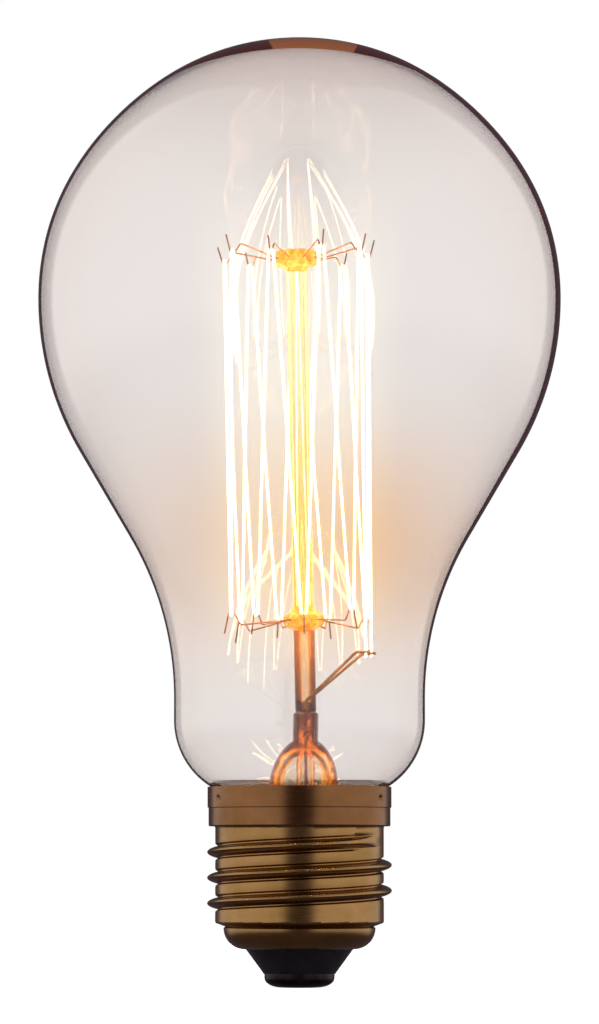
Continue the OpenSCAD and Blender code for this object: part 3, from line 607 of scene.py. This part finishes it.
def make_envelope(outer_glass, inner_glass):
    """The blown envelope: outer and inner wall in one outline, turned about the axis."""
    outer, inner = envelope_line(0, 0), envelope_line(GLASS_WALL, CROWN_WALL)
    piece = revolve("envelope_glass", outer + inner[::-1], ENVELOPE_SEGMENTS, closed=False)
    bpy.context.view_layer.objects.active = piece
    bpy.ops.object.mode_set(mode="EDIT")
    bpy.ops.mesh.select_all(action="SELECT")
    bpy.ops.mesh.delete_loose()
    bpy.ops.object.mode_set(mode="OBJECT")
    finish_piece(piece, outer_glass, "clear_glass", "glass_envelope", angle=60)
    piece.data.materials.append(inner_glass)
    middle = Vector((0, 0, CAP_H + ENVELOPE_R))
    for face in piece.data.polygons:
        face.material_index = 0 if face.normal.dot(face.center - middle) > 0 else 1


def stem_ring(angle, z, a, b, p):
    """A point of the stem's ring with half widths a and b, squarer as p rises, on the stem's
    bent middle line."""
    c, s = math.cos(angle), math.sin(angle)
    radius = ((abs(c) / a) ** p + (abs(s) / b) ** p) ** (-1 / p)
    shift = STEM_SHIFT * smooth((z - SEAL_Z) / (PRESS_TOP_Z - SEAL_Z))
    return Vector((shift + radius * c, radius * s, z))


def trumpet(wall):
    """The rings of the trumpet from its lip up to the tube, as (height, a, b, p)."""
    rings = []
    for i in range(13):
        turn = math.radians(7.5 * i)
        radius = SEAL_R - LIP_W - (SEAL_R - LIP_W - FLARE_R + wall) * math.sin(turn)
        rings.append((TRUMPET_Z - (TRUMPET_Z - SEAL_Z + wall) * math.cos(turn), radius, radius, 2))
    return rings


def dome(radius, a, b, top):
    """The rings of the tube's closing dome, from its round foot to its flat top."""
    rings = []
    for i in range(13):
        turn = math.radians(7.5 * i)
        share = abs(math.cos(turn)) ** 1.5
        rings.append((DOME_Z + (top - DOME_Z) * math.sin(turn),
                      a + (radius - a) * share, b + (radius - b) * share, 2 + 7.5 * i / 45))
    return rings


def make_stem(material):
    """The stem: a circle that is extruded ring by ring, down the inside of the tube, round
    the lip and up the outside to the flat press."""
    edge = 0.3 * MM
    rings = dome(FLARE_R - FLARE_WALL, CAVITY_HALF_T, CAVITY_HALF_W, CAVITY_TOP_Z)[::-1]
    rings += trumpet(FLARE_WALL)[::-1]
    rings += [(SEAL_Z - FLARE_WALL, SEAL_R, SEAL_R, 2), (SEAL_Z - BORE_GAP, SEAL_R, SEAL_R, 2)]
    rings += trumpet(0)
    rings += dome(FLARE_R, PRESS_HALF_T, PRESS_HALF_W, PRESS_Z)
    rings += [(PRESS_TOP_Z - edge, PRESS_HALF_T, PRESS_HALF_W, 4),
              (PRESS_TOP_Z, PRESS_HALF_T - edge, PRESS_HALF_W - edge, 4)]
    bpy.ops.object.select_all(action="DESELECT")
    bpy.ops.mesh.primitive_circle_add(vertices=STEM_SEGMENTS, radius=ROD_R, fill_type="NGON")
    piece = bpy.context.object
    piece.name = piece.data.name = "stem_glass"
    bpy.ops.object.mode_set(mode="EDIT")
    for number, ring in enumerate(rings):
        if number:
            bpy.ops.mesh.extrude_region_move()
        mesh = bmesh.from_edit_mesh(piece.data)
        corners = [v for v in mesh.verts if v.select]
        middle = sum((v.co for v in corners), Vector()) / len(corners)
        for corner in corners:
            away = corner.co - middle
            corner.co = stem_ring(math.atan2(away.y, away.x), *ring)
        bmesh.update_edit_mesh(piece.data)
    bpy.ops.mesh.select_all(action="SELECT")
    bpy.ops.mesh.normals_make_consistent(inside=False)
    bpy.ops.object.mode_set(mode="OBJECT")
    return finish_piece(piece, material, "stem_glass", "stem_flare", angle=50)


def make_exhaust_tube(material):
    """The exhaust tube, melted shut at its lower tip."""
    bore = EXHAUST_R - EXHAUST_WALL
    points = [(bore, CAVITY_TOP_Z), (EXHAUST_R, CAVITY_TOP_Z)]
    points += arc((0, EXHAUST_TIP_Z + EXHAUST_R), EXHAUST_R, 0, -90, 12)
    points += arc((0, EXHAUST_TIP_Z + 2 * EXHAUST_R), bore, -90, 0, 8)
    piece = revolve("exhaust_glass", points, 48)
    piece.data.transform(Matrix.Translation((STEM_SHIFT, 0, 0)))
    return finish_piece(piece, material, "stem_glass", "exhaust_tube", angle=60)


def make_rod(material):
    """The centre rod with melted, rounded ends."""
    top = UPPER_BEAD_H + UPPER_BEAD_HALF - BEAD_CROWN
    edge = 0.3 * MM
    points = [(0, BORE_GAP), (ROD_R - edge, BORE_GAP)]
    points += arc((ROD_R - edge, edge), edge, -80, 0, 4)
    points += arc((ROD_R - edge, top - edge), edge, 0, 90, 5) + [(0, top)]
    piece = revolve("rod_glass", points, 64, closed=False)
    piece.data.transform(ON_ROD)
    return finish_piece(piece, material, "bead_glass", "centre_rod", angle=60)


def press_petals(piece, count, first, depth):
    """Draws the bead in between its hooks' roots, so that it swells round each of them."""
    for corner in piece.data.vertices:
        angle, radius = math.atan2(corner.co.y, corner.co.x), math.hypot(corner.co.x, corner.co.y)
        share = smooth((radius - ROD_R - 0.2 * MM) / (BEAD_R - ROD_R - 0.2 * MM))
        dip = 1 - depth * share * (0.5 - 0.5 * math.cos(count * (angle - first))) / BEAD_R
        corner.co.x, corner.co.y = corner.co.x * dip, corner.co.y * dip


def make_beads(material):
    """The two beads round the rod. The upper one is a flat button with a funnel under it."""
    bore = ROD_R + BORE_GAP
    top, belly, funnel = UPPER_BEAD_HALF, 0.8 * MM, 0.6 * MM
    rim = 0.3 * MM
    upper = [(0, top - BEAD_CROWN + BORE_GAP), (0, top)]
    upper += arc((BEAD_R - rim, top - rim), rim, 90, 0, 6)
    upper += arc((BEAD_R - belly, belly - top), belly, 0, -75, 10)
    upper += [(ROD_R + funnel / 2, -top), (bore, -top - funnel), (bore, top - BEAD_CROWN + BORE_GAP)]
    piece = revolve("upper_bead_glass", upper, 144, closed=False)
    press_petals(piece, UPPER_HOOKS, FIRST_HOOK, 0.45 * MM)
    piece.data.transform(ON_ROD @ Matrix.Translation((0, 0, UPPER_BEAD_H)))
    finish_piece(piece, material, "bead_glass", "upper_bead", angle=50)
    half, belly, collar = LOWER_BEAD_HALF, 1.1 * MM, 0.4 * MM
    lower = [(bore, collar / 2 - half)] + arc((BEAD_R - belly, 0), belly, -80, 70, 20)
    lower += [(ROD_R + collar, half - collar), (bore, half + collar)]
    piece = revolve("lower_bead_glass", lower, 144)
    press_petals(piece, UPPER_HOOKS, FIRST_HOOK - HOOK_STEP / 2, 0.45 * MM)
    piece.data.transform(ON_ROD @ Matrix.Translation((0, 0, LOWER_BEAD_H)))
    finish_piece(piece, material, "bead_glass", "lower_bead", angle=50)


def scatter(i, phase):
    """A hook's height above the even ring, the same each time."""
    return HOOK_SCATTER * math.sin(math.radians(137 * i + phase))


def hook_path(arm, seat, tail):
    """A hook in its own upright plane: out of the bead, over its shoulder, back to its seat
    and out again to its free end. Returns the rounded path and the middle of the seat."""
    shoulder = Vector((RING_R - HOOK_REACH, 0, arm))
    rest = Vector((RING_R, 0, seat))
    end = Vector((RING_R + TAIL_REACH, 0, tail))
    half = (shoulder - rest).angle(end - rest) / 2
    rest.z += HOOK_BEND * (1 / math.sin(half) - 1) * (1 if seat > tail else -1)
    corners = [Vector((ROD_R + ROOT_GAP, 0, 0)), Vector((BEAD_R + ROOT_RUN, 0, 0)), shoulder, rest, end]
    path = rounded(corners, [SHOULDER_BEND, SHOULDER_BEND, HOOK_BEND], steps=6)
    return path, path[-5]


def upper_hook(i):
    """The path of an upper hook and the middle of its seat, on its bead."""
    s = scatter(i, 20)
    return hook_path(UPPER_ARM + s, UPPER_SEAT + s, UPPER_TAIL + 1.5 * s)


def lower_hook(i):
    """The path of a lower hook and the middle of its seat, on its bead."""
    s = scatter(i, 75)
    return hook_path(LOWER_ARM + s, LOWER_SEAT + s, LOWER_TAIL + 1.5 * s)


def make_hooks(material):
    """The hooks, each turned to its own direction on its bead."""
    for ring, count, shape, height, offset in [
            ("upper", UPPER_HOOKS, upper_hook, UPPER_BEAD_H, 0),
            ("lower", LOWER_HOOKS, lower_hook, LOWER_BEAD_H, HOOK_STEP / 2)]:
        for i in range(count):
            place = (Matrix.Translation((0, 0, height))
                     @ Matrix.Rotation(FIRST_HOOK - HOOK_STEP * i - offset, 4, "Z"))
            path = [place @ point for point in shape(i)[0]]
            piece = wire(f"{ring}_hook_wire_{i + 1}", path, HOOK_D)
            finish_piece(piece, material, "hook_wire", f"{ring}_hook_{i + 1}", angle=60)


def filament_turn(seat, angle, height, way):
    """The filament's half turn round a hook's seat, over the wire or under it."""
    middle = Vector((seat.x * math.cos(angle), seat.x * math.sin(angle), height + seat.z))
    along = Vector((math.sin(angle), -math.cos(angle), 0))
    radius = HOOK_D / 2 + FILAMENT_D / 2 + SEAT_GAP
    turns = [math.radians(180 - 15 * i) for i in range(13)]
    return [middle + radius * (math.cos(a) * along + way * math.sin(a) * Vector((0, 0, 1))) for a in turns]


def eye(angle):
    """The middle of a lead's eye, in the rod's frame."""
    return Vector((EYE_REACH * math.cos(angle), EYE_REACH * math.sin(angle), EYE_H))


def make_filament(material):
    """One unbroken coiled wire, up from the front lead, over and under the hooks in turn, and
    down to the back lead: a ring of wire is wound into a straight coil, and the coil is bent
    along its path. Its turns are drawn coarser than the real ones, as wide as they need to
    show."""
    tail = Vector((0, 0, FILAMENT_TAIL))
    path = [eye(FRONT_EYE) - tail, eye(FRONT_EYE) + tail]
    for i in range(UPPER_HOOKS):
        angle = FIRST_HOOK - HOOK_STEP * i
        path += filament_turn(upper_hook(i)[1], angle, UPPER_BEAD_H, 1)
        if i < LOWER_HOOKS:
            path += filament_turn(lower_hook(i)[1], angle - HOOK_STEP / 2, LOWER_BEAD_H, -1)
    path += [eye(BACK_EYE) + tail, eye(BACK_EYE) - tail]
    outline("filament_path", path)
    bpy.ops.object.mode_set(mode="OBJECT")
    bpy.ops.object.convert(target="CURVE")
    line = bpy.context.object
    bpy.ops.object.select_all(action="DESELECT")
    bpy.ops.mesh.primitive_circle_add(
        vertices=COIL_SIDES, radius=COIL_WIRE_D / 2, fill_type="NOTHING",
        location=(COIL_WIRE_D, FILAMENT_D / 2 - COIL_WIRE_D / 2, 0))
    bpy.ops.object.transform_apply(location=True)
    piece = bpy.context.object
    piece.name = piece.data.name = "filament_coil"
    length = sum((there - here).length for here, there in zip(path, path[1:]))
    coil = piece.modifiers.new("coil", "SCREW")
    coil.axis = "X"
    coil.screw_offset = COIL_PITCH
    coil.iterations = int((length - 2 * COIL_WIRE_D) / COIL_PITCH)
    coil.steps = coil.render_steps = COIL_STEPS
    bpy.ops.object.modifier_apply(modifier=coil.name)
    bpy.ops.object.mode_set(mode="EDIT")
    bpy.ops.mesh.select_all(action="SELECT")
    bpy.ops.mesh.fill_holes(sides=COIL_SIDES)
    bpy.ops.mesh.select_all(action="SELECT")
    bpy.ops.mesh.normals_make_consistent(inside=False)
    bpy.ops.object.mode_set(mode="OBJECT")
    bend = piece.modifiers.new("bend", "CURVE")
    bend.object = line
    bend.deform_axis = "POS_X"
    bpy.ops.object.modifier_apply(modifier=bend.name)
    bpy.data.objects.remove(line)
    piece.data.transform(ON_ROD)
    finish_piece(piece, material, "filament_wire", "filament", angle=80)


def make_inner_leads(material):
    """The inner leads: up from the press, out to the filament, and round it in an open eye."""
    for name, side, angle, way in [("front", -1, FRONT_EYE, 1), ("back", 1, BACK_EYE, -1)]:
        foot = Vector((0, side * LEAD_SPREAD, WELD_H))
        out = Vector((math.cos(angle), math.sin(angle), 0))
        left = Vector((-math.sin(angle), math.cos(angle), 0)) * way
        bend = FILAMENT_D / 2 + LEAD_D / 2 + SEAT_GAP
        near, far = eye(angle) - bend * left, eye(angle) + bend * left
        path = rounded([foot, foot + Vector((0, 0, FOOT_RISE)), near - EYE_RUN * out, near],
                       [LEAD_BEND, LEAD_BEND])
        turns = [math.radians(15 * i) for i in range(1, 13)]
        path += [eye(angle) + bend * (math.sin(a) * out - math.cos(a) * left) for a in turns]
        path.append(far - EYE_END * out)
        piece = wire(f"inner_lead_wire_{name}", path, LEAD_D)
        finish_piece(piece, material, "lead_wire", f"lead_{name}", angle=60)


def thread_radius(angle, z):
    """Radius of the rolled thread: a round crest that winds up between slightly crowned
    bands, with a valley on either side, and that rises and sinks again over a part turn."""
    height = (z - THREAD_Z) / THREAD_RISE
    turn = ((angle - THREAD_START) / (2 * math.pi)) % 1
    place = math.floor(height - turn) + turn
    strength = smooth(place / THREAD_FADE) * smooth((THREAD_TURNS - place) / THREAD_FADE)
    away = abs(height - place - 0.5)
    if away < CREST_FOOT:
        radius = VALLEY_R + (CREST_R - VALLEY_R) * (1 - (away / CREST_FOOT) ** 2) ** CREST_ROUND
    else:
        edge = (away - CREST_FOOT - VALLEY_EDGE) / BAND_EDGE
        crown = BAND_CROWN * min(1, (0.5 - away) / (0.5 - CREST_FOOT - VALLEY_EDGE)) ** 2
        radius = VALLEY_R + (BAND_R - VALLEY_R - crown) * smooth(edge)
    return BAND_R + (radius - BAND_R) * strength


def thread_rows():
    """Shares of one pitch at which the thread's outline has a point: close together over the
    round crest and at the edges of the bands."""
    edges = [CREST_FOOT + VALLEY_EDGE + BAND_EDGE * share for share in (0, 0.5, 1)]
    low = [0, 0.25 - edges[-1] / 2] + [0.5 - edge for edge in edges[::-1]]
    crest = [0.5 - CREST_FOOT * math.cos(math.radians(a)) for a in range(0, 181, 15)]
    return low + crest + [1 - share for share in low[::-1]]


def extrude_rings(piece, start_z, rings):
    """Extrudes the open round edge at a height, ring by ring, to new radii and heights."""
    bpy.ops.mesh.select_all(action="DESELECT")
    mesh = bmesh.from_edit_mesh(piece.data)
    for edge in mesh.edges:
        if edge.is_boundary and all(abs(v.co.z - start_z) < 0.001 * MM for v in edge.verts):
            edge.select_set(True)
    bmesh.update_edit_mesh(piece.data)
    for radius, z in rings:
        bpy.ops.mesh.extrude_region_move()
        mesh = bmesh.from_edit_mesh(piece.data)
        for corner in mesh.verts:
            if corner.select:
                angle = math.atan2(corner.co.y, corner.co.x)
                corner.co = (radius * math.cos(angle), radius * math.sin(angle), z)
        bmesh.update_edit_mesh(piece.data)


def make_screw_shell(material):
    """The screw shell: one pitch of the thread is wound up the cap and cut flat at both ends,
    the skirt is extruded up from it and the bowl down, the rim gets its notch and staking
    marks, and the sheet its thickness."""
    step, lap, exact = 0.1 * MM, 0.2 * MM, 0.0001 * MM
    first = (-THREAD_START / (2 * math.pi)) % 1 - 2
    points = [(BAND_R, THREAD_Z + THREAD_RISE * (first + share)) for share in thread_rows()]
    piece = outline("screw_shell_brass", upright(points))
    bpy.ops.object.mode_set(mode="OBJECT")
    thread = piece.modifiers.new("thread", "SCREW")
    thread.screw_offset = THREAD_RISE
    thread.iterations = 5
    thread.steps = thread.render_steps = SHELL_SEGMENTS
    bpy.ops.object.modifier_apply(modifier=thread.name)
    bpy.ops.object.mode_set(mode="EDIT")
    bpy.ops.mesh.select_all(action="SELECT")
    bpy.ops.mesh.remove_doubles(threshold=0.002 * MM)
    for z, cut_off in [(THREAD_Z, {"clear_inner": True}), (THREAD_TOP_Z, {"clear_outer": True})]:
        bpy.ops.mesh.select_all(action="SELECT")
        bpy.ops.mesh.bisect(plane_co=(0, 0, z), plane_no=(0, 0, 1), threshold=exact, **cut_off)
    mesh = bmesh.from_edit_mesh(piece.data)
    for corner in mesh.verts:
        x, y, z = corner.co
        share = thread_radius(math.atan2(y, x), z) / math.hypot(x, y)
        corner.co.x, corner.co.y = x * share, y * share
    bmesh.update_edit_mesh(piece.data)
    rim_foot, rim_rows, skirt_rows, notch_rows = CAP_H - RIM_H, 10, 8, 3
    rings = [(BAND_R + step, SKIRT_Z)] + arc((SKIRT_R - lap, SKIRT_Z + lap), lap, -90, 0, 5)
    rings += [(SKIRT_R, SKIRT_Z + lap + (rim_foot - step - SKIRT_Z - lap) * i / skirt_rows)
              for i in range(1, skirt_rows + 1)]
    rings += [(RIM_R, rim_foot + (RIM_H - NOTCH_H) * i / rim_rows) for i in range(rim_rows + 1)]
    rings += [(RIM_R, CAP_H - NOTCH_H + NOTCH_H * i / notch_rows) for i in range(1, notch_rows + 1)]
    extrude_rings(piece, THREAD_TOP_Z, rings)
    rings = [(BAND_R - step, THREAD_Z - lap), (GROOVE_R, BOWL_Z + lap)]
    rings += arc((BOWL_R - BOWL_CORNER_R, BOWL_Z), BOWL_CORNER_R, 0, -90, 16)
    extrude_rings(piece, THREAD_Z, rings + [(SHELL_HOLE_R, BOWL_Z - BOWL_CORNER_R)])
    bpy.ops.mesh.select_all(action="DESELECT")
    mesh = bmesh.from_edit_mesh(piece.data)
    for corner in mesh.verts:
        x, y, z = corner.co
        angle, radius = math.atan2(y, x), math.hypot(x, y)
        for mark in MARK_ANGLES if z > SKIRT_Z + lap else []:
            aside = (angle - mark + math.pi) % (2 * math.pi) - math.pi
            apart = math.hypot(aside * radius, z - MARK_Z) / MARK_R
            corner.co.xy *= 1 - MARK_DEPTH / radius * math.exp(-apart ** 2)
    for face in mesh.faces:
        middle = face.calc_center_median()
        face.select_set(middle.z > CAP_H - NOTCH_H and middle.y > 0 and abs(middle.x) < NOTCH_W / 2)
    bmesh.update_edit_mesh(piece.data)
    bpy.ops.mesh.delete(type="FACE")
    bpy.ops.mesh.select_all(action="SELECT")
    bpy.ops.mesh.normals_make_consistent(inside=False)
    bpy.ops.object.mode_set(mode="OBJECT")
    sheet = piece.modifiers.new("sheet", "SOLIDIFY")
    sheet.thickness = SHEET
    sheet.offset = -1
    bpy.ops.object.modifier_apply(modifier=sheet.name)
    return finish_piece(piece, material, "aged_brass", "screw_shell", angle=35)


def make_insulator(material):
    """The black glass insulator: a disc inside the bowl and the cone that carries the
    contact."""
    floor = BOWL_Z - BOWL_CORNER_R + SHEET
    disc_h, gap = 1.9 * MM, 0.05 * MM
    top = floor + disc_h
    disc_r = BOWL_CORNER_R - SHEET - gap
    bore, dish, edge = 1.2 * MM, 0.9 * MM, 0.2 * MM
    plug_r = CONTACT_R - CONTACT_SHEET - 0.1 * MM
    neck_z = floor - SHEET
    points = [(bore, CONTACT_SHEET), (CONTACT_FLAT_R - edge, CONTACT_SHEET), (plug_r, CONTACT_EDGE_H),
              (plug_r, INSULATOR_Z), (INSULATOR_TIP_R - edge / 2, INSULATOR_Z)]
    points += arc((INSULATOR_TIP_R - edge, INSULATOR_Z + edge), edge, -60, -20, 4)
    points += [(INSULATOR_R, neck_z), (INSULATOR_R, floor)]
    end = math.degrees(math.asin(disc_h / disc_r - 1))
    points += arc((BOWL_R - BOWL_CORNER_R - gap, floor + disc_r), disc_r, -90, end, 12)
    points += [(bore + 2 * dish, top), (bore + dish, top - dish), (bore, top - dish)]
    piece = revolve("insulator_glass", points, 128)
    return finish_piece(piece, material, "black_glass", "shell_insulator", angle=35)


def make_contact(material):
    """The pressed centre contact: a shallow cup with a round edge and a hole for the lead."""
    points = [(CONTACT_HOLE_R, 0), (CONTACT_FLAT_R, 0)]
    run, rise = CONTACT_R - CONTACT_FLAT_R, CONTACT_EDGE_H
    bends = [math.radians(15 * i) for i in range(1, 7)]
    points += [(CONTACT_FLAT_R + run * math.sin(a), rise * (1 - math.cos(a))) for a in bends]
    points += [(CONTACT_R, INSULATOR_Z), (CONTACT_R - CONTACT_SHEET, INSULATOR_Z),
               (CONTACT_R - CONTACT_SHEET, CONTACT_EDGE_H), (CONTACT_FLAT_R - 0.1 * MM, CONTACT_SHEET),
               (CONTACT_HOLE_R, CONTACT_SHEET)]
    piece = revolve("contact_brass", points, 96)
    return finish_piece(piece, material, "dark_brass", "contact_plate", angle=35)


def dress_node(name, material):
    """Gives a CAD node that stays in view its finish."""
    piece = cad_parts[name]
    piece.data.materials.clear()
    piece.data.materials.append(material)


def make_floor():
    """A plain pale floor. The camera sees it white, as the backdrop, apart from the object's
    shadow, and through glass it is plain white."""
    bpy.ops.object.select_all(action="DESELECT")
    bpy.ops.mesh.primitive_circle_add(vertices=96, radius=0.3, fill_type="NGON")
    floor = bpy.context.object
    floor.name = "floor"
    floor.visible_glossy = False
    material, tree = new_material("pale_studio_floor")[:2]
    path = add(tree, "ShaderNodeLightPath").outputs
    pale = add(tree, "ShaderNodeBsdfDiffuse", {"Color": srgb("D8D8D8")})
    dim = add(tree, "ShaderNodeBsdfDiffuse", {"Color": srgb("9C9C9C")})
    glow = add(tree, "ShaderNodeEmission", {"Color": srgb("FFFFFF"), "Strength": 0.82})
    white = add(tree, "ShaderNodeAddShader", {0: dim.outputs["BSDF"], 1: glow.outputs["Emission"]})
    even = add(tree, "ShaderNodeEmission", {"Color": srgb("FFFFFF"), "Strength": 1.0})
    open_view = add(tree, "ShaderNodeMixShader", {
        0: path["Is Camera Ray"], 1: pale.outputs["BSDF"], 2: white.outputs["Shader"]})
    surface = add(tree, "ShaderNodeMixShader", {
        0: path["Is Transmission Ray"], 1: open_view.outputs["Shader"], 2: even.outputs["Emission"]})
    plug(tree, tree.nodes["Material Output"], {"Surface": surface.outputs["Shader"]})
    floor.data.materials.append(material)


def light_world():
    """Soft light from all round, a white backdrop for what the camera sees, also through
    glass, and for reflections a studio with two pale side walls: it is dark in front, behind
    and down low, and the walls fade out overhead. Reflections inside the glass get one even
    grey brown."""
    world = bpy.data.worlds.new("studio")
    bpy.context.scene.world = world
    world.use_nodes = True
    tree = world.node_tree
    tree.nodes.clear()
    path = add(tree, "ShaderNodeLightPath").outputs
    way = add(tree, "ShaderNodeTexCoord").outputs["Generated"]
    flat = add(tree, "ShaderNodeVectorMath", {0: way, 1: (1, 1, 0)}, operation="MULTIPLY")
    level = add(tree, "ShaderNodeVectorMath", {0: flat.outputs["Vector"]}, operation="NORMALIZE")
    round_y = add(tree, "ShaderNodeSeparateXYZ", {"Vector": level.outputs["Vector"]}).outputs["Y"]
    up = add(tree, "ShaderNodeSeparateXYZ", {"Vector": way}).outputs["Z"]
    past_front = span(tree, round_y, -0.968, -0.915, soft=True)
    before_back = span(tree, round_y, 0.8, 0.72, soft=True)
    above_floor = span(tree, up, -0.35, -0.02, soft=True)
    below_top = span(tree, up, 0.95, 0.6, low=0.35, soft=True)
    sides = maths(tree, "MULTIPLY", past_front, before_back)
    heights = maths(tree, "MULTIPLY", above_floor, below_top)
    room = mixed(tree, maths(tree, "MULTIPLY", sides, heights), srgb("504850"), srgb("FFFFFF"))
    inside = maths(tree, "GREATER_THAN", path["Transmission Depth"], 0.5)
    shown = mixed(tree, inside, room, srgb("7C7068"))
    soft = add(tree, "ShaderNodeBackground", {"Color": srgb("FFFFFF"), "Strength": 0.6})
    mirrored = add(tree, "ShaderNodeBackground", {"Color": shown, "Strength": 1.0})
    backdrop = add(tree, "ShaderNodeBackground", {"Color": srgb("FFFFFF"), "Strength": 1.0})
    seen = maths(tree, "MAXIMUM", path["Is Camera Ray"], path["Is Transmission Ray"])
    glossy = add(tree, "ShaderNodeMixShader", {
        0: path["Is Glossy Ray"], 1: soft.outputs["Background"], 2: mirrored.outputs["Background"]})
    surface = add(tree, "ShaderNodeMixShader", {
        0: seen, 1: glossy.outputs["Shader"], 2: backdrop.outputs["Background"]})
    add(tree, "ShaderNodeOutputWorld", {"Surface": surface.outputs["Shader"]})


def add_lamp(name, place, size, power):
    """A soft square lamp that points at the middle of the bulb."""
    bpy.ops.object.light_add(type="AREA", location=place)
    lamp = bpy.context.object
    lamp.name = name
    lamp.data.size = size
    lamp.data.energy = power
    lamp.rotation_euler = (AIM_AT - Vector(place)).to_track_quat("-Z", "Y").to_euler()
    lamp.visible_glossy = False
    lamp.visible_camera = False
    lamp.visible_transmission = False


def set_camera():
    """The camera that stands where the photograph's did."""
    bpy.ops.object.camera_add(location=CAMERA_AT)
    camera = bpy.context.object
    camera.name = "photograph_view"
    camera.rotation_euler = (AIM_AT - CAMERA_AT).to_track_quat("-Z", "Y").to_euler()
    camera.data.lens = LENS
    camera.data.sensor_width = 36
    bpy.context.scene.camera = camera


set_camera()
drawn, fused = stem_glass(), bead_glass()
nickel = drawn_metal("drawn_nickel_wire", "8A5A30", "B88048", 0.35)
copper_clad = drawn_metal("copper_clad_seal_wire", "6A2410", "96401E", 0.4)
copper = drawn_metal("drawn_copper_wire", "8C4A2A", "B8703F", 0.3)
molybdenum = drawn_metal("drawn_molybdenum_wire", "8A5C46", "A87860", 0.4)
# Painted shade: the centre contact's brass is given a near black colour with a violet cast.
dark_brass = drawn_metal("pressed_brass_painted_shade", "241C1E", "3A2E2E", 0.38, grain=1.5)
solder = drawn_metal("reflowed_tin_solder", "8E8A84", "B4B0A8", 0.4, grain=0.6)

make_envelope(blown_glass(), clear_inner_glass())
make_stem(drawn)
make_exhaust_tube(drawn)
make_rod(rod_glass())
make_beads(fused)
make_hooks(molybdenum)
make_filament(coiled_filament())
make_inner_leads(nickel)
make_screw_shell(rolled_brass())
make_insulator(black_glass())
make_contact(dark_brass)
for name, material in [
        ("sealed_lead_front", copper_clad), ("sealed_lead_back", copper_clad),
        ("centre_outer_lead", copper), ("side_outer_lead", copper),
        ("contact_solder", solder), ("side_solder", solder), ("basing_cement", baked_cement())]:
    dress_node(name, material)

make_floor()
light_world()
add_lamp("key_lamp", (-0.5, -0.45, 0.5), 0.4, 6)
add_lamp("fill_lamp", (0.55, -0.35, 0.35), 0.4, 4)
add_lamp("top_lamp", (0, 0.1, 0.7), 0.4, 4)
bpy.context.scene.view_settings.view_transform = "Standard"
